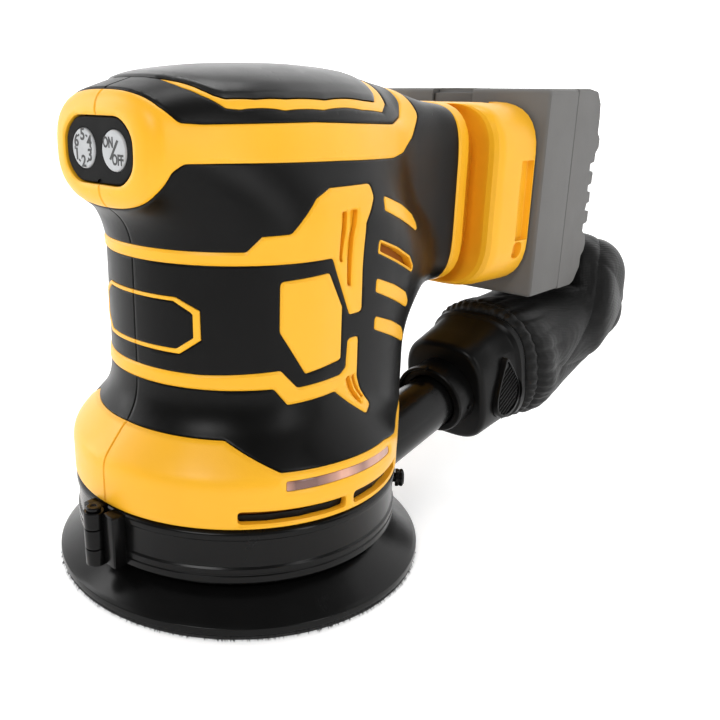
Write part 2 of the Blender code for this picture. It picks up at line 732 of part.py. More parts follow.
def build_foot():
    stations = (
        (HEAD_REAR + GAP, 0.0245, 0.0838, 0.1472),
        (0.0930, 0.0255, 0.0830, 0.1465),
        (0.0945, 0.0360, 0.0810, 0.1460),
        (0.0965, 0.0373, 0.0800, 0.1460),
        (FOOT_REAR, FOOT_HALF, 0.0800, 0.1460),
    )
    rings = []
    for y, half, low, high in stations:
        outline = rounded_rectangle(half, (high - low) / 2, 0.0100)
        rings.append([(u, y, (low + high) / 2 + v) for u, v in outline])
    foot = loft("battery_foot", rings, "yellow_plastic")
    cut(foot, box("rail_head", (-0.0300, 0.1058, 0.0812), (0.0300, 0.1122, 0.2)))
    cut(foot, box("rail_neck", (-0.0262, 0.1110, 0.0812), (0.0262, 0.1300, 0.2)))
    cut(foot, box("wire_way", (-0.0080, 0.0700, 0.1150), (0.0080, 0.1080, 0.1300)))
    cut(foot, box("terminal_seat", (-0.0200, 0.0980, 0.0860), (0.0200, 0.1080, 0.1040)))
    low, high = (-0.0197, 0.0983, 0.0863), (0.0197, 0.1055, 0.1037)
    block = box("terminal_block", low, high, "black_plastic", 0.0006)
    for index, x in enumerate((-0.012, 0.0, 0.012)):
        join(block, box(f"blade_{index}", (x - 0.0004, 0.1050, 0.0880), (x + 0.0004, 0.1105, 0.1000)))
    cut(foot, box("lead_down_way", (-0.0060, 0.0900, 0.1030), (0.0060, 0.1040, 0.1250)))
    box("power_lead", (-0.0050, 0.0000, 0.1200), (0.0050, 0.1000, 0.1240), "black_rubber", 0.0012)


def rear_wedge(name, depth):
    """What a chamfer of that depth takes off the pack's lower rear edge."""
    corner = ((PACK_REAR - depth, PACK_LOW), (PACK_REAR, PACK_LOW + depth))
    (y0, z0), (y1, z1) = corner
    outline = [(-0.1, y0 - 0.01, z0 - 0.01), (-0.1, y1 + 0.01, z0 - 0.01), (-0.1, y1 + 0.01, z1 + 0.01)]
    return prism(name, outline, (0.2, 0, 0))


def build_pack():
    split = 0.1400
    tongue = ((-0.0257, 0.1100, 0.0816), (0.0257, PACK_FRONT + 0.001, 0.1430))
    tongue_head = ((-0.0295, 0.1063, 0.0816), (0.0295, 0.1117, 0.1430))
    halves = (("pack_front", PACK_FRONT, split - GAP / 2), ("pack_rear", split + GAP / 2, PACK_REAR))
    inner = box("pack_cavity", (-0.0395, 0.1204, 0.0766), (0.0395, 0.1576, 0.1494))
    cut(inner, rear_wedge("cavity_wedge", PACK_CHAMFER + 0.0010))
    for label, low, high in halves:
        shell = box(label, (-PACK_HALF, low, PACK_LOW), (PACK_HALF, high, PACK_HIGH), "grey_plastic", 0.0012)
        if label == "pack_rear":
            cut(shell, rear_wedge("pack_wedge", PACK_CHAMFER))
        cut(shell, inner)
        if label == "pack_rear":
            for index in range(5):
                z = 0.0840 + 0.0130 * index
                groove = ((-0.0300, PACK_REAR - 0.0012, z), (0.0300, PACK_REAR + 0.01, z + 0.005))
                cut(shell, box(f"grip_groove_{index}", *groove))
            continue
        join(shell, box("tongue_neck", *tongue), box("tongue_head", *tongue_head))
        for index, x in enumerate((-0.012, 0.0, 0.012)):
            cut(shell, box(f"blade_slot_{index}", (x - 0.0011, 0.1, 0.07), (x + 0.0011, 0.1112, 0.1030)))
        cut(shell, box("latch_seat", (-0.0092, 0.1060, 0.1412), (0.0092, 0.1340, 0.16)))
    latch = box("pack_latch", (-0.0088, 0.1190, 0.1444), (0.0088, 0.1335, 0.1535), "black_plastic", 0.0010)
    cut(latch, box("latch_step", (-0.01, 0.1185, 0.1500), (0.01, 0.1230, 0.16)))
    cell_axes = ((0.1483, 0.0900), (0.1483, 0.1095), (0.1483, 0.1290), (0.1297, 0.0997), (0.1297, 0.1192))
    for index, (y, z) in enumerate(cell_axes):
        ends = (-CELL_LENGTH / 2, y, z), (CELL_LENGTH / 2, y, z)
        rod(f"cell_{index + 1}", *ends, CELL_RADIUS, "aluminium")


# --- Dust bag on its squeeze-clip connector ----------------------------------------------------------


def outlet_ring(distance, half, below, above, roundness=2.6, count=32):
    """An oval section across the outlet axis, below and above it by different amounts."""
    middle, height = (below - above) / 2, (below + above) / 2
    ring_points = []
    for angle in around(count):
        c, s = math.cos(angle), math.sin(angle)
        u = half * math.copysign(abs(c) ** (2 / roundness), c)
        v = middle + height * math.copysign(abs(s) ** (2 / roundness), s)
        ring_points.append(OUTLET_FRAME @ Vector((u, v, distance)))
    return ring_points


def clip_shape(name, margin, inner, outer, side, finish=None):
    """A tear-shaped finger pad, pointed at its top."""
    outline = []
    for angle in around(20):
        lean = math.sin(angle)
        u = (7.3 + margin * 1000) * (0.66 + 0.34 * lean) * math.cos(angle) / 1000
        v = (12.3 + margin * 1000) * lean / 1000 - 0.0028
        outline.append(OUTLET_FRAME @ Vector((side * inner, v, CLIP_DISTANCE + u)))
    rise = OUTLET_FRAME.to_3x3() @ Vector((side * (outer - inner), 0, 0))
    return prism(name, outline, rise, finish)


def build_bag():
    outside = (
        (0.0290, 0.0166, 0.0196, 0.0196),
        (0.0305, 0.0176, 0.0206, 0.0206),
        (0.0510, 0.0192, 0.0218, 0.0218),
        (0.0520, 0.0206, 0.0226, 0.0226),
        (0.0550, 0.0208, 0.0228, 0.0228),
    )
    inside = ((0.0320, 0.0140, 0.0170, 0.0170), (0.0560, 0.0172, 0.0196, 0.0196))
    connector = loft("bag_connector", [outlet_ring(*section) for section in outside], "black_plastic")
    join(connector, rod("connector_neck", along_outlet(0.0200), along_outlet(0.0300), 0.0136, sides=44))
    cut(connector, loft("connector_hollow", [outlet_ring(*section) for section in inside]))
    start, end = along_outlet(0.0100), along_outlet(0.0400)
    cut(connector, rod("connector_bore", start, end, TUBE_RADIUS + GAP, sides=44))
    for side, label in ((1, "right"), (-1, "left")):
        cut(connector, clip_shape(f"clip_slot_{label}", 0.0004, 0.0120, 0.0290, side))
        clip_shape(f"clip_{label}", 0.0, 0.0172, 0.0202, side, "black_plastic")
    outside = [outlet_ring(s, 0.0202, 0.0222, 0.0222) for s in (0.0553, 0.0612)]
    inside = [outlet_ring(s, 0.0184, 0.0204, 0.0204) for s in (0.0500, 0.0700)]
    hoop = loft("bag_hoop", outside, "black_plastic")
    cut(hoop, loft("hoop_hole", inside))

    stations = (  # (distance along the outlet axis, half width, drop below it, rise above it)
        (0.0615, 0.0235, 0.0255, 0.0240),
        (0.0660, 0.0262, 0.0280, 0.0238),
        (0.0760, 0.0270, 0.0285, 0.0214),
        (0.0870, 0.0265, 0.0268, 0.0188),
        (0.0980, 0.0265, 0.0245, 0.0165),
        (0.1065, 0.0275, 0.0237, 0.0150),
        (0.1120, 0.0275, 0.0232, 0.0330),
        (0.1250, 0.0260, 0.0220, 0.0330),
        (0.1380, 0.0230, 0.0205, 0.0270),
        (0.1480, 0.0170, 0.0170, 0.0170),
        (0.1540, 0.0100, 0.0110, 0.0070),
        (0.1570, 0.0040, 0.0050, 0.0010),
    )
    loft("dust_bag", [outlet_ring(*station, 2.2, 28) for station in stations], "bag_fabric")


build_pad()
build_rotor()
build_motor()
build_dust_base()
build_housing()
build_nose()
build_foot()
build_pack()
build_bag()
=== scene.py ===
"""Looks of the cordless orbital sander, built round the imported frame.

Frame: metres, +Z up, nose to -Y, battery to +Y, motor axis on Z. The moulded body is worked out in
millimetres as one smooth solid, netted, cut along the outlines of its colours and lifted into pieces.
"""
import json
import math

import bmesh
import bpy
import numpy as np
from mathutils import Matrix, Vector

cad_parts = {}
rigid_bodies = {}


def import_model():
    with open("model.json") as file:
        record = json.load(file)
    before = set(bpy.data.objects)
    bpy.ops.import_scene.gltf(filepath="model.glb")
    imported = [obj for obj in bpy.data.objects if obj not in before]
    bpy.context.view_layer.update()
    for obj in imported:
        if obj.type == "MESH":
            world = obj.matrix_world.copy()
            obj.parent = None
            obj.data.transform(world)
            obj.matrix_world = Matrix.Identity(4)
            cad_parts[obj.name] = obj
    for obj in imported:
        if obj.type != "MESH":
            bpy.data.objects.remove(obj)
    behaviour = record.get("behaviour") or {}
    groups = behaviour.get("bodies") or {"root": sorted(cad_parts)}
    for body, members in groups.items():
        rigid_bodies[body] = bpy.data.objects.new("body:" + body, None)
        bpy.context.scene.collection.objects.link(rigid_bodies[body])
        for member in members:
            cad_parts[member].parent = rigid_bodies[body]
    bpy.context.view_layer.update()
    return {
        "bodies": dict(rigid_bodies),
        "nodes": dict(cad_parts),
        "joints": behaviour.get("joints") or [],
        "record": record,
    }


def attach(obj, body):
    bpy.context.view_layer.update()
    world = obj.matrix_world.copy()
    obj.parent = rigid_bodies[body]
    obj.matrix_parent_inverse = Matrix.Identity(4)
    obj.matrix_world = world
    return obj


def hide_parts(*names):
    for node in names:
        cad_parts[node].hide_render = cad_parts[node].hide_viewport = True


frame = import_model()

MM = 0.001

# ---------------------------------------------------------------- the moulded body as a smooth solid

HEAD = (  # along y: half width, underside, top
    (-51, 22.8, 122.8, 152.0),
    (-43, 25.2, 120.0, 154.4),
    (-34, 28.2, 116.0, 156.7),
    (-20, 32.0, 112.0, 158.4),
    (0, 34.5, 106.0, 159.2),
    (20, 34.5, 98.0, 158.8),
    (40, 31.5, 90.0, 157.0),
    (60, 27.0, 85.0, 153.0),
    (74, 25.9, 83.0, 149.0),
    (84, 26.6, 82.2, 147.6),
    (95, 26.6, 82.2, 147.0),
)
HEAD_POWER, NECK_POWER = 2.7, 5.0  # the head's section grows boxy towards the battery foot
HEAD_FRONT = -50.6
FRONT_ROUNDING = 5.0
COLUMN_RADIUS = 40.6
COLUMN_TAIL, TAIL_TAPER = 64.3, 13.5  # reach to the rear at the foot, and how much less at the top
TAIL_POWER = 3.57
COLUMN_TOP, COLUMN_ROUNDING = 127.0, 16.0
SKIRT_RADIUS, CONE_TOP_RADIUS, CONE_FLARE = 54.4, 37.6, 20.0
SKIRT_TOP, SKIRT_BOTTOM = 69.5, 32.5
SKIRT_ROUNDING, WAIST_FILLET = 2.0, 5.0
HEAD_FILLET, REAR_FILLET = 12.0, 16.0  # under the head; more under the neck
NECK_END = 84.4
NECK_FROM, NECK_OVER = 48, 34  # where along y the section starts to change, and over what length
TAPER_FROM, TAPER_OVER = 90.0, 34.0  # the same up z for the column's tail and the skirt's cone
CONE_FROM, CONE_OVER = 38.0, 33.0
REAR_FROM, REAR_OVER = 15.0, 50.0  # and for the fillet, which grows to the rear and ends under the head
UNDER_FROM, UNDER_OVER = 132.0, 30.0
NET_PITCH = 0.95


def step(t):
    t = np.clip(t, 0, 1)
    return t * t * (3 - 2 * t)


def smooth_min(a, b, k):
    h = np.maximum(k - np.abs(a - b), 0) / k
    return np.minimum(a, b) - h * h * k / 4


def smooth_max(a, b, k):
    return -smooth_min(-a, -b, k)


def along(table, at):
    """The table's columns at these places, as smooth cubics through its rows."""
    rows = np.array(table, float)
    x = rows[:, 0]
    at = np.clip(at, x[0], x[-1])
    i = np.clip(np.searchsorted(x, at, side="right") - 1, 0, len(x) - 2)
    h = x[i + 1] - x[i]
    s = (at - x[i]) / h
    found = []
    for values in rows.T[1:]:
        slope = np.gradient(values, x)
        ease = s * s * (3 - 2 * s)
        leave, arrive = s * (1 - s) ** 2, s * s * (s - 1)
        rise = (values[i + 1] - values[i]) * ease
        found.append(values[i] + rise + h * (leave * slope[i] + arrive * slope[i + 1]))
    return found


def head(x, y, z):
    half, low, high = along(HEAD, y)
    rise = (high - low) / 2
    power = HEAD_POWER + (NECK_POWER - HEAD_POWER) * step((y - NECK_FROM) / NECK_OVER)
    across = np.abs(x / half) ** power + np.abs((z - (high + low) / 2) / rise) ** power
    side = (across ** (1 / power) - 1) * np.minimum(half, rise)
    return smooth_max(side, HEAD_FRONT - y, FRONT_ROUNDING)


def column(x, y, z):
    reach = COLUMN_TAIL - TAIL_TAPER * step((z - TAPER_FROM) / TAPER_OVER)
    tail = np.where(y > 0, (np.maximum(y, 0) / reach) ** TAIL_POWER, (y / COLUMN_RADIUS) ** 2)
    side = (np.sqrt((x / COLUMN_RADIUS) ** 2 + tail) - 1) * COLUMN_RADIUS
    return smooth_max(side, z - COLUMN_TOP, COLUMN_ROUNDING)


def skirt(x, y, z):
    cone = CONE_TOP_RADIUS + CONE_FLARE * (1 - step((z - CONE_FROM) / CONE_OVER))
    radius = smooth_min(cone, SKIRT_RADIUS, SKIRT_ROUNDING)
    return smooth_max(np.sqrt(x * x + y * y) - radius, z - SKIRT_TOP, SKIRT_ROUNDING)


def body(p):
    x, y, z = p[..., 0], p[..., 1], p[..., 2]
    lower = smooth_min(column(x, y, z), skirt(x, y, z), WAIST_FILLET)
    more = step((y - REAR_FROM) / REAR_OVER) * step((UNDER_FROM - z) / UNDER_OVER)
    return smooth_min(lower, head(x, y, z), HEAD_FILLET + REAR_FILLET * more)


def slope(fn, p, reach=0.05):
    found = np.empty_like(p)
    for axis in range(3):
        off = np.zeros(3)
        off[axis] = reach
        found[..., axis] = (fn(p + off) - fn(p - off)) / (2 * reach)
    return found


def onto(fn, p, rounds=1):
    """The points moved onto the surface fn = 0."""
    for _ in range(rounds):
        g = slope(fn, p)
        p = p - g * (fn(p) / np.maximum((g * g).sum(-1), 1e-6))[..., None]
    return p


def normals(p):
    g = slope(body, p)
    return g / np.linalg.norm(g, axis=-1)[..., None]


def net(fn, low, high, pitch):
    """Surface net of fn = 0 between two corners: one point in each cell that the surface passes."""
    axes = [np.arange(a, b + pitch, pitch) for a, b in zip(low, high)]
    grid = np.stack(np.meshgrid(*axes, indexing="ij"), -1)
    inside = fn(grid) < 0
    count = np.array(inside.shape) - 1
    near = [slice(None, -1), slice(1, None)]
    corners = [inside[near[a], near[b], near[c]] for a in (0, 1) for b in (0, 1) for c in (0, 1)]
    mixed = np.any(corners, axis=0) & ~np.all(corners, axis=0)
    number = np.full(count, -1)
    number[mixed] = np.arange(mixed.sum())
    points = onto(fn, np.array(low, float) + (np.argwhere(mixed) + 0.5) * pitch, 4)
    quads = []
    for axis in range(3):
        u, v = (axis + 1) % 3, (axis + 2) % 3
        start = np.take(inside, range(inside.shape[axis] - 1), axis)
        end = np.take(inside, range(1, inside.shape[axis]), axis)
        at = np.argwhere(start != end)
        at = at[(at[:, u] > 0) & (at[:, v] > 0) & (at[:, u] < count[u]) & (at[:, v] < count[v])]
        out = start[tuple(at.T)]
        du, dv = np.eye(3, dtype=int)[u], np.eye(3, dtype=int)[v]
        around = [number[tuple((at - shift).T)] for shift in (0 * du, du, du + dv, dv)]
        quad = np.stack(around, 1)
        quad[~out] = quad[~out][:, ::-1]
        quads.append(quad)
    quads = np.concatenate(quads)
    a, b, c, d = points[quads].transpose(1, 0, 2)
    swap = np.linalg.norm(a - c, axis=1) > np.linalg.norm(b - d, axis=1)
    quads[swap] = np.roll(quads[swap], 1, axis=1)
    return points, np.concatenate([quads[:, [0, 1, 2]], quads[:, [0, 2, 3]]])


# ---------------------------------------------------------------- outlines on the body

def rounded(points, radius, steps=4):
    """A closed outline with its corners rounded. A corner may carry its own radius as a third number."""
    found = []
    flat = [np.array(p[:2], float) for p in points]
    for i, point in enumerate(points):
        here, before, after = flat[i], flat[i - 1], flat[(i + 1) % len(flat)]
        a, b = before - here, after - here
        la, lb = np.linalg.norm(a), np.linalg.norm(b)
        turn = math.acos(np.clip(a @ b / (la * lb), -1, 1))
        reach = (point[2] if len(point) > 2 else radius) / math.tan(turn / 2)
        reach = min(reach, la * 0.45, lb * 0.45)
        start, end = here + a / la * reach, here + b / lb * reach
        for t in np.linspace(0, 1, steps + 1):
            found.append((1 - t) ** 2 * start + 2 * t * (1 - t) * here + t * t * end)
    return np.array(found)


def polygon_distance(outline):
    """Signed distance to a closed outline in the plane, negative inside."""
    a = outline
    b = np.roll(outline, -1, axis=0)
    ab = b - a
    square = np.maximum((ab * ab).sum(1), 1e-9)
    low, high = a.min(0) - 4, a.max(0) + 4

    def distance(u, v):
        found = np.full(u.shape, 4.0)
        near = (u > low[0]) & (u < high[0]) & (v > low[1]) & (v < high[1])
        p = np.stack([u[near], v[near]], -1)
        least = np.full(len(p), 1e9)
        within = np.zeros(len(p), bool)
        for p0, p1, d, s in zip(a, b, ab, square):
            t = np.clip(((p - p0) @ d) / s, 0, 1)
            off = p - p0 - t[:, None] * d
            least = np.minimum(least, (off * off).sum(1))
            crosses = (p0[1] > p[:, 1]) != (p1[1] > p[:, 1])
            if d[1] != 0:
                within ^= crosses & (p[:, 0] < p0[0] + (p[:, 1] - p0[1]) * d[0] / d[1])
        found[near] = np.sqrt(least) * np.where(within, -1, 1)
        return found

    return distance


ROUND_SCALE = 42.0  # arc lengths round the column are taken at this radius
PALM_LOWEST = 126  # what is drawn from above ends at this height


def round_side(p):
    """Arc length round from the front, the same on both sides, and height."""
    return ROUND_SCALE * np.arctan2(np.abs(p[..., 0]), -p[..., 1]), p[..., 2]


def from_side(p):
    return p[..., 1], p[..., 2]


def from_top(p):
    return np.abs(p[..., 0]), p[..., 1]


def from_front(p):
    """Half width and height on the nose's face; everything behind it is far outside."""
    return np.abs(p[..., 0]), p[..., 2] + np.where(p[..., 1] > -46.0, 500.0, 0.0)


class Region:
    """One colour area of the body. lift raises its surface, bevel lowers its edge over edge_width,
    gap is its joint to the next area and inset draws its outline in."""

    def __init__(self, name, where, points, radius, lift=0.0, bevel=0.15, edge_width=0.35, halves=False,
                 finish="black", gap=0.14, inset=0.0):
        flat = polygon_distance(rounded(points, radius))
        lowest = PALM_LOWEST if where is from_top else -math.inf
        self.name, self.lift, self.bevel, self.edge_width = name, lift, bevel, edge_width
        self.halves, self.finish, self.gap = halves, finish, gap
        self.distance = lambda p: np.maximum(flat(*where(p)) + inset, lowest - p[..., 2])


def sides_of(faces):
    return np.concatenate([faces[:, [0, 1]], faces[:, [1, 2]], faces[:, [2, 0]]])


def split(points, faces, distance, level, snap):
    """The mesh with new edges where distance(points) passes level. Points nearly there slide onto it."""

    def slide(p):
        for _ in range(2):
            g = slope(distance, p)
            n = normals(p)
            g = g - n * (g * n).sum(-1)[..., None]
            short = (distance(p) - level) / np.maximum((g * g).sum(-1), 0.25)
            p = p - g * np.clip(short, -0.4, 0.4)[..., None]
            p = onto(body, p)
        return p

    d = distance(points) - level
    close = np.abs(d) < snap
    if not close.any() and not (np.ptp(np.sign(d[faces]), axis=1) == 2).any():
        return points, faces
    points = points.copy()
    points[close] = slide(points[close])
    side = np.where(close, 0, np.sign(d)).astype(int)
    corner = side[faces]
    mixed = (corner.min(1) < 0) & (corner.max(1) > 0)
    kept, cut = faces[~mixed], faces[mixed]
    if not len(cut):
        return points, faces
    edges = sides_of(cut)
    edges = np.sort(edges[side[edges[:, 0]] * side[edges[:, 1]] < 0], axis=1)
    edges = np.unique(edges, axis=0)
    t = d[edges[:, 0]] / (d[edges[:, 0]] - d[edges[:, 1]])
    fresh = points[edges[:, 0]] + (points[edges[:, 1]] - points[edges[:, 0]]) * t[:, None]
    fresh = slide(fresh)
    width = len(points)
    key = edges[:, 0] * width + edges[:, 1]

    def between(i, j):
        wanted = np.minimum(i, j) * width + np.maximum(i, j)
        return width + np.searchsorted(key, wanted)

    corner = side[cut]
    made = [kept]
    zero = (corner == 0).any(1)
    first = np.argmax(corner[zero] == 0, axis=1)
    a, b, c = (cut[zero][np.arange(zero.sum()), (first + k) % 3] for k in range(3))
    m = between(b, c)
    made += [np.stack([a, b, m], 1), np.stack([a, m, c], 1)]
    lone = corner[~zero]
    first = np.argmax(lone == -np.sign(lone.sum(1))[:, None], axis=1)
    a, b, c = (cut[~zero][np.arange((~zero).sum()), (first + k) % 3] for k in range(3))
    m, n = between(a, b), between(a, c)
    made += [np.stack([a, m, n], 1), np.stack([m, b, c], 1), np.stack([m, c, n], 1)]
    return np.concatenate([points, fresh]), np.concatenate(made)


PANEL_OPENING = [(-9, 128.0), (10.6, 128.0), (15.8, 132.6), (15.8, 141.6), (10.6, 146.2), (-9, 146.2)]
PALM = [
    (-9, -38.0), (9.5, -37.6), (14.1, -36.2), (18.2, -34.2), (21.9, -32.1), (24.2, -30.2), (25.9, -27.6),
    (28.2, -18.6), (29.5, -8.2), (30.1, 7.2), (27.9, 27.3), (26.6, 34.5), (24.6, 37.0), (18, 38.4),
    (-9, 39.4),
]
PALM_LINE = [
    (-9, -36.4), (8, -37.4), (15.4, -37.1), (18.9, -36.1), (23.1, -33.2), (25.8, -30.3), (27.4, -28.4),
    (28.6, -24.7), (31.3, -9.9), (31.9, 5.2), (30.3, 24.5), (28.0, 37.2), (25.1, 42.2), (20.6, 43.8),
    (-9, 44.8),
]
FRAME = [
    (-47.4, 170), (-47.2, 152.4), (-45.3, 148.8), (-42.0, 144.8), (-36, 144.3), (0, 144.0), (42.5, 141.9),
    (49.5, 143.6), (54.5, 148.0), (57, 156), (57, 170),
]
YELLOW_BAND = [
    (-80, 175), (-80, 112), (-47.6, 112), (-47.9, 121.0), (-47.0, 126.6), (-44.6, 132.4), (-41.6, 134.4),
    (-29, 134.1), (8, 133.0), (38.6, 131.8), (48, 132.8), (56.0, 137.0), (62.5, 144), (61.5, 152),
    (60, 175),
]
UPPER_ACCENT = [
    (-9, 110.4), (37.6, 110.2), (42.1, 114.4), (51.0, 114.7), (60.4, 123.8), (66.8, 126.2), (85.5, 126.1),
    (85.4, 121.9), (80.7, 114.8), (81.0, 87.8), (75.4, 87.8), (67.2, 105.3), (66.6, 106.2), (-9, 106.5),
]
UPPER_SLITS = ([(70.2, 119.1), (72.5, 119.3), (71.4, 111.2), (70.9, 103.8), (69.8, 105.9), (69.7, 111.8)],
               [(73.9, 119.3), (77.2, 119.5), (75.5, 111.7), (75.6, 96.6), (74.0, 97.2), (73.1, 110.4)])
HEXAGON = [(47.7, 101.4), (65.5, 102.2), (71.9, 91.0), (72.0, 74.4), (56.6, 73.1), (47.7, 86.7)]
FRONT_LINE = [(-9, 97.1), (16.4, 96.9), (24.0, 93.4), (24.2, 84.8), (17.3, 80.2), (-9, 80.6)]
FRONT_INLAY = [(-9, 95.9), (15.6, 95.7), (21.7, 92.5), (21.8, 85.4), (16.2, 81.7), (-9, 81.8)]
LOWER_ACCENT = [
    (-9, 74.8), (23.7, 74.4), (48.2, 75.2), (53.8, 69.3), (71.6, 69.6), (74.4, 71.3), (75.1, 80.4),
    (79.9, 80.4), (80.0, 67.4), (81.4, 62.8), (84.5, 56.8), (79.6, 55.5), (68.8, 65.0), (50.2, 64.6),
    (45.9, 69.8), (-9, 70.2),
]
LOWER_SLITS = ([(74.4, 68.1), (76.4, 68.0), (78.2, 63.1), (80.4, 59.5), (79.8, 58.2), (76.7, 61.8),
                (75.0, 64.9)],
               [(77.2, 68.2), (78.4, 68.1), (79.6, 64.4), (82.0, 60.1), (81.1, 59.8), (78.6, 63.9)])
SKIRT_LINE = [
    (-9, 57.3), (31.4, 56.7), (44.8, 48.9), (61.0, 48.6), (79.3, 47.9), (87.5, 46.1), (91.9, 46.2),
    (112, 47.5), (150, 47.5), (150, 10), (-9, 10),
]
WINDOW = [(45.7, 43.4), (60.7, 43.4), (81.3, 42.6), (80.6, 45.4), (60.8, 46.3), (45.8, 46.4)]
VENTS = ([(34.7, 34.1), (61.7, 33.9), (61.7, 37.4), (34.7, 38.0)],
         [(64.3, 33.9), (88.5, 33.6), (88.5, 37.0), (64.3, 37.7)])
BAR_START = 22.5
BAR_TOPS = (121.9, 109.2, 97.0, 84.9)  # height of each bar's upper edge at its front end
HOLLOW_BAR = 1


def bar_outline(top):
    """A fin on the flank: upright at its front end, its top falling ever faster to the rear."""
    shape = ((0, 0), (11, -3.9), (20.6, -8.4), (23.8, -11.8), (23.6, -14.6), (11, -9), (-0.2, -4.4))
    start, reach = (BAR_START + 3.0, 1.12) if top == BAR_TOPS[0] else (BAR_START, 1.0)
    return [(start + u * reach, top + v) for u, v in shape]


def make_regions():
    """The colour areas, the first that holds a point wins."""
    yellow = dict(finish="yellow")
    # painted shade: sunk vent floors are yellow plastic coloured the orange-brown it shows in shade deep in
    # a recess
    dark = dict(bevel=0, finish="dark")
    found = [
        Region("opening", from_front, PANEL_OPENING, 8.0),
        Region("palm_pad", from_top, PALM, 2.2, 0.75, 0.6, 1.3, finish="palm", gap=0.25),
        Region("palm_line", from_top, PALM_LINE, 2.4, 0.1, gap=0.1, **yellow),
        Region("palm_frame", from_side, FRAME, 2.2, 0.25, 0.35, 0.6, halves=True, gap=0.2),
        Region("band", from_side, YELLOW_BAND, 3.0, 0.2, 0.35, 0.7, halves=True, gap=0.2, **yellow),
    ]
    for i, slit in enumerate(UPPER_SLITS + LOWER_SLITS):
        found.append(Region(f"accent_slit_{i + 1}", round_side, slit, 0.7, -1.7, 0, **yellow))
    accents = {"upper_accent": UPPER_ACCENT, "lower_accent": LOWER_ACCENT, "hexagon": HEXAGON}
    for name, outline in accents.items():
        found.append(Region(name, round_side, outline, 1.5, 0.35, 0.5, 0.75, **yellow))
    found += [
        Region("front_inlay", round_side, FRONT_INLAY, 0.4, 0.15, halves=True),
        Region("front_line", round_side, FRONT_LINE, 0.4, 0.3, 0.25, 0.3, halves=True, **yellow),
    ]
    for i, top in enumerate(BAR_TOPS):
        if i == HOLLOW_BAR:
            found.append(Region("vent_floor", from_side, bar_outline(top), 1.1, -2.6, inset=0.85, **dark))
        found.append(Region(f"bar_{i + 1}", from_side, bar_outline(top), 1.1, 0.25, 0.35, 0.45, **yellow))
    found.append(Region("window_lens", round_side, WINDOW, 0.5, -0.45, 0, finish="lens"))
    for i, vent in enumerate(VENTS):
        found.append(Region(f"skirt_vent_{i + 1}", round_side, vent, 1.1, -3.1, **dark))
    skirt = Region("skirt", round_side, SKIRT_LINE, 1.2, 0.25, 0.55, 1.3, halves=True, gap=0.2, **yellow)
    return [*found, skirt]


LIP = 3.4  # depth of every edge's inner wall
SUNK_WALL = 0.6  # the wall of a sunk area reaches this far below its floor
SEAM = 0.11  # half width of the seam between the two housing halves
INNER_LINE = 0.35  # a line of the mesh follows each edge at this distance
PALM_CROWN, CROWN_REACH = 0.5, 9.0  # the palm pad bulges by this much this far from its edge
HIDDEN = {"opening"}
NET_BOX = (-58, -59, 30.0), (58, 92, 162)
END_SNAP, EDGE_SNAP, SEAM_SNAP = 0.12, 0.07, 0.05  # points this near a cut slide onto it
END_PLANES = (lambda p: SKIRT_BOTTOM - p[..., 2], lambda p: p[..., 1] - NECK_END)


def add_object(name, data):
    made = bpy.data.objects.new(name, data)
    bpy.context.scene.collection.objects.link(made)
    return made


def shade(mesh, sharp):
    mesh.shade_smooth()
    mesh.set_sharp_from_angle(angle=math.radians(sharp))


def make_mesh(name, points, faces, sharp=28):
    """A mesh object from points in millimetres."""
    mesh = bpy.data.meshes.new(name)
    mesh.from_pydata((np.asarray(points) * MM).tolist(), [], [list(map(int, f)) for f in faces])
    mesh.validate()
    shade(mesh, sharp)
    return add_object(name, mesh)


def cut_net(regions):
    """The body's net with edges along its two ends, every outline and the seam."""
    points, faces = net(body, *NET_BOX, NET_PITCH)
    for distance in END_PLANES:
        for level in (0.0, -0.4):
            points, faces = split(points, faces, distance, level, END_SNAP)
    for region in regions:
        joint = region.gap / 2
        levels = [-joint, joint, -joint - region.edge_width, joint + INNER_LINE]
        for level in levels if region.bevel else levels[:2]:
            points, faces = split(points, faces, region.distance, level, EDGE_SNAP)
    for level in (-SEAM - INNER_LINE, -SEAM, SEAM, SEAM + INNER_LINE):
        points, faces = split(points, faces, lambda p: p[..., 0], level, SEAM_SNAP)
    return points, faces


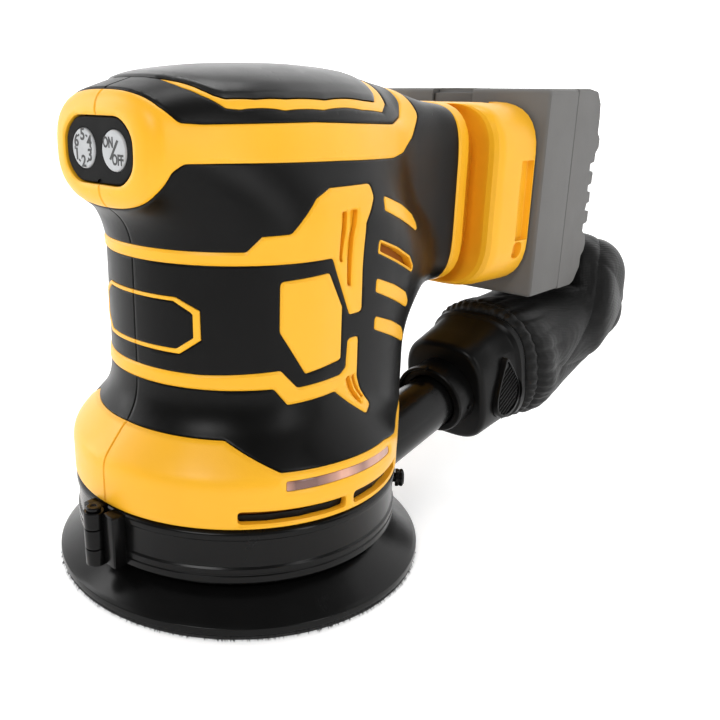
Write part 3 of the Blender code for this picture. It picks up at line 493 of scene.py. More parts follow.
def body_skin():
    """Every visible piece of the moulded body: {name: (object, finish)}."""
    regions = make_regions()
    points, faces = cut_net(regions)
    middle = points[faces].mean(1)
    label = np.full(len(faces), len(regions))
    away = np.full((len(regions) + 1, len(points)), 9.0)  # distance to the nearest edge, per region
    unclaimed = np.ones(len(faces), bool)
    above = np.full(len(points), -9.0)
    for i, region in enumerate(regions):
        joint = region.gap / 2
        at_face, at_point = region.distance(middle), region.distance(points)
        free = unclaimed & (at_face < joint)
        label[free] = np.where(at_face[free] < -joint, i, -1)
        unclaimed &= ~free
        away[i] = -np.maximum(at_point, above)
        above = np.maximum(above, -at_point)
    away[-1] = -above
    rest = Region("housing_shell", from_side, FRAME, 1.0, halves=True)  # only its defaults are used
    inside = np.all([distance(middle) < 0 for distance in END_PLANES], axis=0)
    normal = normals(points)
    seam = np.abs(points[:, 0]) - SEAM
    x = middle[:, 0]
    made = {}
    for i, region in enumerate([*regions, rest]):
        if region.name in HIDDEN:
            continue
        near = away[i] - 0.1
        for distance in END_PLANES:
            near = np.minimum(near, np.maximum(-distance(points), 0) + 0.1)
        if region.halves:
            near = np.minimum(near, seam * max(region.edge_width / INNER_LINE, 1))
        height = region.lift - region.bevel * (1 - np.clip(near / region.edge_width, 0, 1)) ** 2
        if region.name == "palm_pad":
            height = height + PALM_CROWN * step(away[i] / CROWN_REACH)
        mine = inside & (label == i)
        apart = region.halves or np.abs(x[mine]).min() > 1
        sides = {"_right": x > SEAM, "_left": x < -SEAM} if apart else {"": x > -99}
        depth = LIP if region.lift > -1 else SUNK_WALL - region.lift
        for side, chosen in sides.items():
            some = faces[mine & chosen]
            if not len(some):
                continue
            used, some = np.unique(some, return_inverse=True)
            some = some.reshape(-1, 3)
            ends = sides_of(some)
            key = np.sort(ends, axis=1) @ (len(used), 1)
            _, first, count = np.unique(key, return_index=True, return_counts=True)
            rim = ends[first[count == 1]]
            around = np.unique(rim)
            at = np.full(len(used), -1)
            at[around] = len(used) + np.arange(len(around))
            walls = np.stack([rim[:, 1], rim[:, 0], at[rim[:, 0]], at[rim[:, 1]]], 1)
            outer = points[used] + normal[used] * height[used, None]
            inner = points[used[around]] - normal[used[around]] * depth
            name = region.name + side
            made[name] = make_mesh(name, np.concatenate([outer, inner]), [*some, *walls]), region.finish
    return made


# ---------------------------------------------------------------- shapes for the other pieces

def turned(name, profile, radius=0.0, frame=None, steps=144, span=None, sharp=28):
    """A closed outline of (radius, height) in mm, corners rounded, turned about Z or about frame's Z."""
    outline = rounded(profile, radius) if radius else np.array(profile, float)
    start, end = span or (0.0, math.tau)
    angles = np.linspace(start, end, steps + 1)[: None if span else steps]
    r, z = outline.T
    points = np.concatenate([np.stack([r * math.cos(a), r * math.sin(a), z], 1) for a in angles])
    n, m = len(outline), len(angles)
    faces = []
    for j in range(m - 1 if span else m):
        here, there = j * n, (j + 1) % m * n
        for i in range(n):
            k = (i + 1) % n
            faces.append((here + i, there + i, there + k, here + k))
    if span:
        faces += [tuple(range(n)), tuple(reversed(range((m - 1) * n, m * n)))]
    return tidy_normals(make_mesh(name, points, faces, sharp), sharp, frame)


def tidy_normals(obj, sharp, frame=None):
    """Welds the mesh, turns its faces outward and then moves it by frame."""
    bm = bmesh.new()
    bm.from_mesh(obj.data)
    bmesh.ops.remove_doubles(bm, verts=bm.verts, dist=1e-6)
    bmesh.ops.dissolve_degenerate(bm, edges=bm.edges, dist=1e-7)
    bmesh.ops.recalc_face_normals(bm, faces=bm.faces)
    bm.to_mesh(obj.data)
    bm.free()
    shade(obj.data, sharp)
    if frame is not None:
        obj.data.transform(frame)
    return obj


def block(name, corner, opposite, bevel):
    """A box in mm between two corners, with rounded edges."""
    a, b = Vector(corner), Vector(opposite)
    bm = bmesh.new()
    bmesh.ops.create_cube(bm, size=1.0)
    bmesh.ops.scale(bm, vec=Vector([abs(v) for v in b - a]) * MM, verts=bm.verts)
    bmesh.ops.translate(bm, vec=(a + b) / 2 * MM, verts=bm.verts)
    if bevel:
        bmesh.ops.bevel(bm, geom=list(bm.edges), offset=bevel * MM, segments=3, profile=0.5,
                        affect="EDGES")
    mesh = bpy.data.meshes.new(name)
    bm.to_mesh(mesh)
    bm.free()
    shade(mesh, 40)
    return add_object(name, mesh)


def rod(name, start, end, radius, steps=48):
    start, end = Vector(start), Vector(end)
    length = (end - start).length
    frame = Matrix.Translation(start * MM) @ (end - start).to_track_quat("Z", "Y").to_matrix().to_4x4()
    return turned(name, [(0, 0), (radius, 0), (radius, length), (0, length)], frame=frame, steps=steps)


def tube_faces(n, rows):
    """The quads that join closed rings of n points in order."""
    faces = []
    for j in range(rows - 1):
        for i in range(n):
            k = (i + 1) % n
            faces.append((j * n + i, j * n + k, (j + 1) * n + k, (j + 1) * n + i))
    return faces


def loft(name, rings, sharp=28, closed=True, frame=None):
    """Rings of the same number of points in mm, joined in order."""
    n, rows = len(rings[0]), len(rings)
    faces = tube_faces(n, rows)
    if closed:
        faces += [tuple(reversed(range(n))), tuple(range((rows - 1) * n, rows * n))]
    return tidy_normals(make_mesh(name, np.concatenate(rings), faces, sharp), sharp, frame)


def drawn_in(outline, inset):
    """The outline with every point moved towards its middle."""
    middle = outline.mean(0)
    off = outline - middle
    return middle + off * (1 - inset / np.linalg.norm(off, axis=1)[:, None])


def boolean(obj, others, operation="DIFFERENCE", sharp=28):
    """Cuts or joins others with obj and removes them."""
    for other in others:
        modifier = obj.modifiers.new("boolean", "BOOLEAN")
        modifier.operation = operation
        modifier.solver = "EXACT"
        modifier.object = other
    bpy.context.view_layer.update()
    mesh = bpy.data.meshes.new_from_object(obj.evaluated_get(bpy.context.evaluated_depsgraph_get()))
    obj.modifiers.clear()
    obj.data = mesh
    for other in others:
        bpy.data.objects.remove(other)
    shade(mesh, sharp)
    return obj


def merge(obj, *others):
    """Puts others' meshes into obj without cutting them."""
    bm = bmesh.new()
    bm.from_mesh(obj.data)
    for other in others:
        bm.from_mesh(other.data)
        bpy.data.objects.remove(other)
    bm.to_mesh(obj.data)
    bm.free()


# ---------------------------------------------------------------- materials

class Finish:
    """A principled material whose nodes are added step by step. Lengths are metres in object space.
    A colour is red, green and blue, or one number for a grey.
    """

    def __init__(self, name, roughness, metallic=0.0, specular=0.5, **sockets):
        self.material = bpy.data.materials.new(name)
        self.material.use_nodes = True
        self.tree = self.material.node_tree
        self.shader = self.tree.nodes["Principled BSDF"]
        sockets.update(Roughness=roughness, Metallic=metallic, Specular_IOR_Level=specular)
        for key, value in sockets.items():
            self.shader.inputs[key.replace("_", " ")].default_value = value
        self.place = self.node("ShaderNodeTexCoord").outputs["Object"]

    def node(self, kind, **values):
        made = self.tree.nodes.new(kind)
        for key, value in values.items():
            if key in made.inputs:
                made.inputs[key].default_value = value
            else:
                setattr(made, key, value)
        return made

    def link(self, out, into):
        self.tree.links.new(out, into)

    def mapped(self, **values):
        mapping = self.node("ShaderNodeMapping", **values)
        self.link(self.place, mapping.inputs["Vector"])
        return mapping.outputs["Vector"]

    def noise(self, cell, detail, roughness=0.5, stretch=None):
        made = self.node("ShaderNodeTexNoise", Scale=1.0 / cell, Detail=detail, Roughness=roughness)
        self.link(self.mapped(Scale=stretch) if stretch else self.place, made.inputs["Vector"])
        return made.outputs["Fac"]

    def spread(self, value, low, high, start=0.3, end=0.7):
        made = self.node("ShaderNodeMapRange")
        for key, number in zip(("From Min", "From Max", "To Min", "To Max"), (start, end, low, high)):
            made.inputs[key].default_value = number
        self.link(value, made.inputs["Value"])
        return made.outputs["Result"]

    def sum(self, a, b):
        made = self.node("ShaderNodeMath", operation="ADD")
        self.link(a, made.inputs[0])
        self.link(b, made.inputs[1])
        return made.outputs[0]

    def colours(self, factor, first, second):
        made = self.node("ShaderNodeMix", data_type="RGBA")
        for key, colour in (("A", first), ("B", second)):
            made.inputs[key].default_value = (*np.broadcast_to(colour, 3), 1)
        self.link(factor, made.inputs["Factor"])
        self.link(made.outputs["Result"], self.shader.inputs["Base Color"])

    def gloss(self, value):
        self.link(value, self.shader.inputs["Roughness"])

    def bump(self, height, depth):
        made = self.node("ShaderNodeBump", Distance=depth, Strength=1.0)
        self.link(height, made.inputs["Height"])
        if self.shader.inputs["Normal"].is_linked:
            self.link(self.shader.inputs["Normal"].links[0].from_socket, made.inputs["Normal"])
        self.link(made.outputs["Normal"], self.shader.inputs["Normal"])


GLOSS_DRIFT = 0.06  # how far roughness wanders either way


def moulded(name, colour, drift, roughness, specular=0.5, grain=0.00035, depth=0.00002, **sockets):
    """Moulded plastic: fine spark-eroded grain, cloudy gloss and slight colour drift."""
    made = Finish(name, roughness, specular=specular, **sockets)
    cloud = made.noise(0.045, 4.0, 0.55)
    made.colours(made.spread(cloud, 0.0, 1.0, 0.35, 0.65), colour, drift)
    smear = made.sum(made.noise(0.012, 5.0, 0.6), cloud)
    made.gloss(made.spread(smear, roughness - GLOSS_DRIFT, roughness + GLOSS_DRIFT, 0.7, 1.3))
    made.bump(made.noise(grain, 2.0), depth)
    return made.material


def brushed(name, colour, drift, roughness):
    made = Finish(name, roughness, 1.0)
    streak = made.noise(0.0012, 4.0, 0.6, (1, 1, 30))
    made.colours(streak, colour, drift)
    made.gloss(made.spread(streak, roughness - 0.08, roughness + 0.12))
    made.bump(streak, 0.000008)
    return made.material


def make_finishes():
    fine, finer, finest = 0.00001, 0.000008, 0.000005  # depths of grain
    found = {
        "yellow": moulded("yellow_plastic_look", (0.90, 0.455, 0.020), (0.86, 0.425, 0.016), 0.36, 0.32),
        "black": moulded("black_plastic_look", (0.002, 0.002, 0.0019), (0.0032, 0.0031, 0.003), 0.34, 0.13),
        "palm": moulded("palm_rubber_look", 0.0030, 0.0045, 0.32, 0.40, depth=fine),
        "gloss": moulded("gloss_black_look", 0.0020, 0.0030, 0.22, 0.16, depth=finest),
        # painted shade: yellow plastic darkened to orange-brown, as it looks in the shade of a deep recess
        "dark": moulded("shadow_plastic_look", (0.30, 0.095, 0.005), (0.20, 0.060, 0.004), 0.6, 0.08),
        "panel": moulded("panel_black_look", 0.0015, 0.0024, 0.45, 0.06, depth=fine),
        "rubber": moulded("black_rubber_look", 0.006, 0.009, 0.7, 0.2),
        "grey": moulded("grey_plastic_look", (0.125, 0.122, 0.118), (0.136, 0.133, 0.128), 0.6, 0.3,
                        0.0006, 0.00004),
        "silver": moulded("silver_button_look", (0.43, 0.44, 0.45), (0.39, 0.40, 0.41), 0.45, depth=finer),
        "ink": moulded("printed_ink_look", 0.012, 0.02, 0.5),
        "steel": brushed("steel_look", (0.62, 0.62, 0.63), (0.48, 0.48, 0.49), 0.3),
        "aluminium": brushed("aluminium_look", (0.78, 0.78, 0.79), (0.64, 0.64, 0.65), 0.36),
        "copper": brushed("copper_look", (0.80, 0.38, 0.20), (0.55, 0.22, 0.10), 0.35),
        "circuit": moulded("circuit_look", (0.01, 0.12, 0.04), (0.008, 0.08, 0.03), 0.35),
    }
    lens = Finish("smoked_lens_look", 0.22, Coat_Weight=0.4)
    # painted glints: thin bright bands mixed into the lens colour stand in for reflections; the dark brown
    # between them is the lens's own smoked tint
    band = lens.noise(0.016, 2.0, 0.4, (1, 1, 0.02))
    lens.colours(lens.spread(band, 0, 1, 0.42, 0.66), (0.16, 0.070, 0.055), (0.70, 0.36, 0.26))
    lens.bump(lens.noise(0.0009, 2.0, 0.5, (1, 1, 0.1)), 0.00002)

    hook = Finish("hook_facing_look", 0.85)
    loops = hook.node("ShaderNodeTexVoronoi", Scale=1 / 0.0009)
    hook.link(hook.place, loops.inputs["Vector"])
    hook.colours(loops.outputs["Distance"], 0.012, 0.003)
    hook.bump(loops.outputs["Distance"], 0.0004)

    cloth = Finish("bag_cloth_look", 0.5, specular=0.18, Sheen_Weight=0.02, Sheen_Roughness=0.4)
    threads = []
    for turn in (0.35, 0.35 + math.pi / 2):
        wave = cloth.node("ShaderNodeTexWave", Scale=1 / 0.0035, Distortion=0.6, Detail=1.0)
        cloth.link(cloth.mapped(Rotation=(turn, 0.2, turn)), wave.inputs["Vector"])
        threads.append(wave.outputs["Fac"])
    crumple = cloth.noise(0.02, 5.0, 0.6)
    cloth.colours(cloth.spread(crumple, 0, 1), (0.0018, 0.0018, 0.0018), (0.0038, 0.0038, 0.0036))
    cloth.gloss(cloth.spread(crumple, 0.42, 0.6))
    cloth.bump(cloth.sum(*threads), 0.00004)
    cloth.bump(crumple, 0.0005)
    return found | {"lens": lens.material, "hook": hook.material, "cloth": cloth.material}


LOOK_OF_SLOT = {  # the record's material slot: its finish
    "yellow_plastic": "yellow", "black_plastic": "black", "gloss_black": "gloss", "black_rubber": "rubber",
    "hook_fabric": "hook", "grey_plastic": "grey", "silver_plastic": "silver", "smoked_lens": "lens",
    "bag_fabric": "cloth", **{metal: metal for metal in ("steel", "aluminium", "copper", "circuit")},
}
SLOTS = {finish: slot for slot, finish in LOOK_OF_SLOT.items()}
SLOTS.update(palm="black_rubber", dark="yellow_plastic", panel="gloss_black", ink="black_plastic")
FINISHES = make_finishes()


def dress(obj, finish, rides_on, *stands_for):
    """Gives a finished piece its material, its body and the CAD nodes it stands for."""
    obj.data.materials.clear()
    obj.data.materials.append(FINISHES[finish])
    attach(obj, rides_on)
    if stands_for:
        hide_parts(*stands_for)


# ---------------------------------------------------------------- moulded body

def place(x, y, z):
    return Matrix.Translation(Vector((x, y, z)) * MM)


def build_body():
    stands_for = {
        "housing_shell_right": "housing_right", "housing_shell_left": "housing_left",
        "palm_pad": "palm_grip", "band_right": "nose_bezel", "skirt_right": "base_skirt",
        "window_lens_right": "window_right", "window_lens_left": "window_left",
    }
    for name, (obj, finish) in body_skin().items():
        dress(obj, finish, "main", *filter(None, [stands_for.get(name)]))


# ---------------------------------------------------------------- pad

ORBIT = 1.25  # the pad's axis lies this far behind the motor's
PAD_AT = place(0, ORBIT, 0)
FRINGE_HOOKS = 760


def build_pad():
    profile = [(2, 6), (20, 6), (21.5, 9), (40, 9), (42.6, 12.2), (49.4, 12.2, 0.5), (50.2, 11.4, 0.4),
               (51.4, 11.3, 0.3), (55.5, 8.7, 12), (61.3, 4.9, 1.0), (62.4, 4.1, 0.4), (62.5, 1.9, 0.4),
               (2, 1.9)]
    pad = turned("backing_pad_rubber", profile, 0.3, PAD_AT, 224, sharp=35)
    profile = [(2, 1.55), (62.2, 1.55), (61.9, 0.3), (2, 0.3)]
    facing = turned("hook_facing_pile", profile, 0.25, PAD_AT, 224)

    def upright(low, high, radius, reach, count, first):
        rods = []
        for i in range(count):
            a = first + i * math.tau / count
            x, y = reach * math.cos(a), reach * math.sin(a) + ORBIT
            rods.append(rod("hole", (x, y, low), (x, y, high), radius))
        return rods

    for target in (pad, facing):
        dust_holes = upright(-3, 20, 5.0, 32.5, 8, math.pi / 8)
        screw_wells = upright(-3, 4.4, 4.1, 12.5, 3, math.pi / 2)
        boolean(target, dust_holes + screw_wells, sharp=35)
    boolean(pad, upright(0, 12, 2.3, 12.5, 3, math.pi / 2), sharp=35)
    dress(pad, "gloss", "pad", "backing_pad")
    dress(facing, "hook", "pad", "hook_facing")

    rng = np.random.default_rng(4)
    points, faces = [], []
    for i in range(FRINGE_HOOKS):
        a = (i + rng.uniform(-0.6, 0.6)) * math.tau / FRINGE_HOOKS
        radius, foot = rng.uniform(61.6, 62.3), rng.uniform(0.7, 1.8)
        tip_radius = radius + rng.uniform(0.3, 0.9)
        tip = max(foot - rng.uniform(0.5, 1.6), 0.0)
        lean = rng.normal(0, 0.004)
        half = rng.uniform(0.0034, 0.0056)
        start = len(points)
        for b, r, z in ((a - half, radius, foot), (a + half, radius, foot), (a, radius, foot + 0.35),
                        (a + lean, tip_radius, tip)):
            points.append((r * math.cos(b), r * math.sin(b) + ORBIT, z))
        sides = ((0, 1, 3), (1, 2, 3), (2, 0, 3), (0, 2, 1))
        faces += [(start + j, start + k, start + m) for j, k, m in sides]
    dress(make_mesh("hook_fringe", points, faces), "hook", "pad")


# ---------------------------------------------------------------- collar, gate, latch and outlet tube

OUTLET_TILT = math.radians(12.5)
OUTLET = place(25, 60, 33) @ Matrix.Rotation(OUTLET_TILT - math.pi / 2, 4, "X")
RIM, COLLAR_LOW, COLLAR_HIGH = 54.5, 14.0, 32.0  # the collar's radius and its two ends
COLLAR_PROFILE = [
    (50.0, COLLAR_HIGH, 0.3), (52.9, COLLAR_HIGH, 1.2), (RIM, 30.9, 1.2), (RIM, 29.1, 0.4),
    (53.95, 28.6, 0.3), (53.95, 20.0, 0.3), (RIM, 19.4, 0.3), (RIM, 17.9, 0.2), (54.15, 17.65, 0.1),
    (54.15, 17.25, 0.1), (RIM, 17.0, 0.2), (RIM, 15.0, 0.5), (53.5, COLLAR_LOW, 0.5),
    (50.0, COLLAR_LOW, 0.3),
]
COLLAR_SLACK = 0.15 / RIM  # angle left free at each end of the gate
HINGE_Y = -59.0
HINGE_AT = place(0, HINGE_Y, 0)
HINGE_ANGLE, GATE_END = -math.pi / 2, math.radians(43)
LATCH_ANGLE, LATCH_HEIGHT = math.radians(38.5), 26.2


def outlet_point(distance, x=0.0, y=0.0):
    """A point in millimetres, given along and across the outlet's axis."""
    return (OUTLET @ Vector((x * MM, y * MM, distance * MM))) / MM


def knuckle(low, high, side):
    profile = [(1.52, low), (3.2, low), (3.2, high), (1.52, high)]
    barrel = turned("barrel", profile, 0.25, HINGE_AT, 48)
    lug = block("lug", (side * 0.35, HINGE_Y + 2.0, low), (side * 4.4, -52.4, high), 0.35)
    return boolean(barrel, [lug], "UNION")


def build_base():
    gate_span = (HINGE_ANGLE + COLLAR_SLACK, GATE_END - COLLAR_SLACK)
    ring_span = (GATE_END + COLLAR_SLACK, HINGE_ANGLE + math.tau - COLLAR_SLACK)
    ring = turned("collar_wall", COLLAR_PROFILE, 0.3, None, 200, ring_span)
    gate = turned("gate_wall", COLLAR_PROFILE, 0.3, None, 96, gate_span)
    boolean(ring, [rod("way", outlet_point(-45), outlet_point(60), 11.0)])
    knuckles = [knuckle(14.15, 19.55, -1), knuckle(19.85, 26.15, 1), knuckle(26.45, 31.85, -1)]
    merge(ring, knuckles[0], knuckles[2])
    merge(gate, knuckles[1], block("gate_plate", (2.9, -58.2, 14.4), (8.4, -53.2, 31.6), 0.6))
    merge(ring, block("ring_plate", (-7.4, -57.8, 14.4), (-2.9, -53.2, 31.6), 0.6))
    dress(ring, "gloss", "main", "collar_ring")
    dress(gate, "gloss", "collar_gate", "collar_gate")

    pin_profile = [(0, 32.9), (0.9, 32.9), (1.1, 33.3), (2.0, 33.3), (2.3, 33.0), (2.3, 32.2), (1.5, 32.1),
                   (1.5, 13.8), (0, 13.8)]
    dress(turned("hinge_pin_head", pin_profile, 0.12, HINGE_AT, 48), "gloss", "main", "hinge_pin")

    outward = Vector((math.cos(LATCH_ANGLE), math.sin(LATCH_ANGLE), 0))
    turn = outward.to_track_quat("Z", "X").to_matrix().to_4x4()
    turn = Matrix.Translation((0, 0, LATCH_HEIGHT * MM)) @ turn
    knob_profile = [(0, 57.8), (2.1, 57.8, 0.3), (3.0, 57.2, 0.4), (3.0, 56.5, 0.2), (2.75, 56.3, 0.1),
                    (2.75, 56.0, 0.1), (3.0, 55.8, 0.2), (3.0, 54.8, 0.2), (1.6, 54.8), (1.6, 51), (0, 51)]
    dress(turned("latch_knob_turned", knob_profile, 0.2, turn, 64), "gloss", "latch_knob", "latch_knob")

    tube_profile = [(8.3, -28), (10.5, -28), (10.5, 12.6, 0.1), (10.2, 12.9, 0.1), (10.2, 31.0, 0.4),
                    (8.3, 31.0, 0.3)]
    tube = turned("outlet_spigot", tube_profile, 0.2, OUTLET, 112)
    chamber = rod("chamber", (0, 0, 0), (0, 0, 80), 50.0, 96)
    boolean(tube, [chamber, block("behind", (-100, -100, -100), (100, 30, 100), 0)])
    dress(tube, "gloss", "main", "outlet_tube")


# ---------------------------------------------------------------- nose panel and buttons

PANEL_HALF, PANEL_RISE = 15.5, 8.8  # half width and half height
PANEL_CUT = (5.2, 4.6)  # how much its corners cut off each way
PANEL_MIDDLE = 137.1
PANEL_FRONT, PANEL_REAR = -50.1, -45.8
DISC_FRONT = -50.45
INK_LIFT = 0.03
BUTTONS = {"speed_button": (-6.9, 137.3), "power_button": (7.3, 137.3)}


def lettering(name, text, size, button, u, v, turn=0.0, narrow=1.0):
    """Flat letters printed on a button, their middle u across and v above its own."""
    curve = bpy.data.curves.new(name, "FONT")
    curve.body = text
    curve.size = size * MM
    curve.align_x, curve.align_y = "CENTER", "CENTER"
    curve.extrude = 0.00004
    curve.offset = 0.00012
    holder = add_object(name, curve)
    bpy.context.view_layer.update()
    mesh = bpy.data.meshes.new_from_object(holder.evaluated_get(bpy.context.evaluated_depsgraph_get()))
    bpy.data.objects.remove(holder)
    x, z = BUTTONS[button]
    face = place(x + u, DISC_FRONT - INK_LIFT, z + v) @ Matrix.Rotation(math.pi / 2, 4, "X")
    mesh.transform(face @ Matrix.Rotation(turn, 4, "Z") @ Matrix.Diagonal((narrow, 1, 1, 1)))
    dress(add_object(name, mesh), "ink", button)


def build_nose():
    u, v = PANEL_HALF - PANEL_CUT[0], PANEL_RISE - PANEL_CUT[1]
    corner = [(u, -PANEL_RISE), (PANEL_HALF, -v), (PANEL_HALF, v), (u, PANEL_RISE)]
    outline = rounded(corner + [(-u, v) for u, v in reversed(corner)], 7.6, 8) + (0, PANEL_MIDDLE)
    y = PANEL_FRONT
    steps = ((PANEL_REAR, 0), (y + 0.5, 0), (y + 0.15, 0.15), (y, 0.5))
    panel = loft("panel_plate", [np.insert(drawn_in(outline, inset), 1, y, axis=1) for y, inset in steps])
    boolean(panel, [rod("well", (x, -60, z), (x, -40, z), 5.7, 72) for x, z in BUTTONS.values()], sharp=12)
    low = PANEL_MIDDLE - 9.3
    boolean(panel, [rod("notch", (0, -60, low), (0, PANEL_FRONT + 0.6, low), 1.7)], sharp=12)
    dress(panel, "panel", "main", "control_panel")
    back = block("panel_back", (-16.8, -45.6, 126.5), (16.8, -44.6, 146.8), 0.3)
    boolean(back, [rod("stem_way", (x, -60, z), (x, -40, z), 2.4) for x, z in BUTTONS.values()])
    dress(back, "black", "main")
    top = -DISC_FRONT
    disc_profile = [(0, top), (5.1, top, 0.3), (5.45, top - 0.35, 0.3), (5.45, 46.6, 0.1), (2.0, 46.6),
                    (2.0, 44.8), (0, 44.8)]
    for name, (x, z) in BUTTONS.items():
        facing_front = place(x, 0, z) @ Matrix.Rotation(math.pi / 2, 4, "X")
        dress(turned(name + "_disc", disc_profile, 0.15, facing_front, 96), "silver", name, name)
    speed, power = BUTTONS
    for i, digit in enumerate("543216"):
        a = math.radians(90 - 60 * i)
        b = a - math.radians(30)
        lettering(f"digit_{digit}", digit, 4.4, speed, 3.6 * math.cos(a), 3.6 * math.sin(a))
        lettering(f"tick_{digit}", "-", 2.6, speed, 4.1 * math.cos(b), 4.1 * math.sin(b), b - math.pi / 2)
    lettering("mark_on", "ON", 3.9, power, -2.3, 2.0, narrow=0.74)
    lettering("mark_slash", "/", 8.2, power, 0.1, -0.1, -0.34)
    lettering("mark_off", "OFF", 3.9, power, 1.8, -2.4, narrow=0.74)


# ---------------------------------------------------------------- battery foot and pack

FOOT_STATIONS = (  # y, half width, underside, top, corner radius
    (81.0, 24.0, 84.4, 145.4, 17), (84.6, 25.6, 83.0, 146.4, 17), (84.8, 26.4, 82.2, 147.3, 17),
    (85.6, 26.9, 81.8, 147.8, 17), (89.6, 27.2, 81.6, 147.9, 17), (90.6, 26.6, 82.3, 147.3, 17),
    (91.0, 24.8, 84.0, 145.6, 16), (92.6, 22.6, 86.0, 143.6, 15), (98.5, 22.8, 86.0, 143.6, 15),
    (96.2, 28.6, 83.0, 146.0, 17), (94.4, 31.2, 81.8, 146.6, 17), (93.6, 33.2, 81.0, 147.0, 17),
    (93.8, 35.2, 80.4, 147.2, 18), (94.8, 36.6, 80.0, 147.3, 18), (96.4, 37.4, 79.8, 147.4, 18),
    (98.6, 37.8, 79.7, 147.4, 18), (116.0, 39.3, 79.6, 147.4, 18), (116.9, 38.8, 80.0, 147.0, 18),
)
TONGUE_HALF = 23.6
PACK_SIDE, PACK_LOW, PACK_TOP = 42.0, 74.3, 152.0
PACK_FRONT, PACK_SEAM, SEAM_HALF = 118.1, 140.0, 0.03
PACK_REAR_EDGE = (  # (y, z) up the back of the pack: chamfer, bumps and finger grooves
    (151.0, PACK_LOW), (153.4, 75.2), (157.4, 80.4), (157.6, 85.0), (159.8, 87.0), (160.6, 90.0),
    (159.8, 93.0), (156.6, 95.4), (156.6, 98.6), (160.0, 99.2), (160.0, 103.4), (156.6, 103.9),
    (157.6, 107.0), (160.0, 107.5), (160.0, 111.7), (157.6, 112.2), (156.6, 115.3), (160.0, 115.8),
    (160.0, 120.0), (156.6, 120.6), (156.6, 124.0), (160.0, 124.5), (160.2, 128.0), (162.4, 130.0),
    (162.4, 133.4), (160.2, 135.6), (160.2, 141.0), (159.4, 147.0), (156.4, 151.0), (150.0, PACK_TOP),
)


def build_foot():
    rings = []
    for y, half, low, high, corner in FOOT_STATIONS:
        rise = (high - low) / 2
        box = [(half, -rise), (half, rise), (-half, rise), (-half, -rise)]
        outline = rounded(box, corner, 8) + (0, (high + low) / 2)
        rings.append(np.insert(outline, 1, y, axis=1))
    foot = loft("foot_shell", rings, 25)
    cutters = [block("rail_head", (-TONGUE_HALF - 0.4, 105.8, 81.2), (TONGUE_HALF + 0.4, 112.2, 200), 0),
               block("rail_neck", (-TONGUE_HALF + 3.4, 111, 81.2), (TONGUE_HALF - 3.4, 130, 200), 0),
               block("wire_way", (-8, 70, 115), (8, 108, 130), 0),
               block("terminal_seat", (-20, 98, 86), (20, 108, 104), 0)]
    for side in (1, -1):
        cutters += [block("side_slot", (side * 36.6, 108.0, 97.4), (side * 44.0, 115.6, 127.0), 0.6),
                    block("side_notch", (side * 35.0, 107.4, 90.6), (side * 44.0, 113.0, 97.0), 2.2)]
    boolean(foot, cutters, sharp=25)
    dress(foot, "yellow", "main", "battery_foot")


def across(name, outline, edge=1.6):
    """An outline (y, z) drawn from side to side, its two end faces drawn in by a rounded edge."""
    ends = ((PACK_SIDE, edge), (PACK_SIDE - edge * 0.3, edge * 0.3), (PACK_SIDE - edge, 0))
    sections = [(-x, inset) for x, inset in ends] + list(reversed(ends))
    return loft(name, [np.insert(drawn_in(outline, inset), 0, x, axis=1) for x, inset in sections], 25)


def build_pack():
    seam = PACK_SEAM - SEAM_HALF
    outline = [(PACK_FRONT, PACK_LOW, 1.5), (seam, PACK_LOW, 0.05), (seam, PACK_TOP, 0.05),
               (PACK_FRONT, PACK_TOP, 1.5)]
    front = across("pack_case_front", rounded(outline, 1.0))
    cavity = block("cavity", (-39.5, 120.4, 76.6), (39.5, 145, 149.4), 0)
    slots = [block("slot", (x - 1.1, 100, 70), (x + 1.1, 111.2, 103), 0) for x in (-12, 0, 12)]
    neck = TONGUE_HALF - 3.8
    tongue_head = block("tongue_head", (-TONGUE_HALF, 106.3, 81.6), (TONGUE_HALF, 111.7, 143), 0.3)
    tongue = boolean(block("tongue", (-neck, 110, 81.6), (neck, 119, 143), 0), [tongue_head], "UNION")
    boolean(front, [tongue], "UNION")
    boolean(front, [cavity, *slots, block("seat", (-9.2, 106, 141.2), (9.2, 134, 160), 0)])
    dress(front, "grey", "battery_pack", "pack_front")
    seam = PACK_SEAM + SEAM_HALF
    outline = [(seam, PACK_LOW, 0.05), *PACK_REAR_EDGE, (seam, PACK_TOP, 0.05)]
    rear = across("pack_case_rear", rounded(outline, 0.5), 0.7)
    dress(rear, "grey", "battery_pack", "pack_rear")
    latch = block("pack_release", (-8.8, 119, 144.4), (8.8, 133.5, 152.2), 0.8)
    ribs = [block("rib", (-7, 124.5 + 2 * i, 151.8), (7, 125.5 + 2 * i, 155), 0.2) for i in range(4)]
    boolean(latch, [block("thumb", (-12, 118, 150.4), (12, 122.5, 160), 0.6), *ribs])
    dress(latch, "grey", "pack_latch", "pack_latch")


# ---------------------------------------------------------------- connector, clips and dust bag

def oval(distance, half, below, above, roundness=2.6, count=96, ripple=None):
    """A section across the outlet axis; ripple(angle) widens it by a share."""
    angle = np.linspace(0, math.tau, count, endpoint=False)
    c, s = np.cos(angle), np.sin(angle)
    swell = 1 + (ripple(angle) if ripple else 0)
    u = half * swell * np.sign(c) * np.abs(c) ** (2 / roundness)
    v = (below - above) / 2 + (below + above) / 2 * swell * np.sign(s) * np.abs(s) ** (2 / roundness)
    return np.column_stack([u, v, np.full(count, distance)])


def outlet_loft(name, sections):
    """A tube of ovals (distance, half width, half height) along the outlet's axis."""
    rings = [oval(s, half, height, height, 3.1, 128) for s, half, height in sections]
    return loft(name, rings, frame=OUTLET)


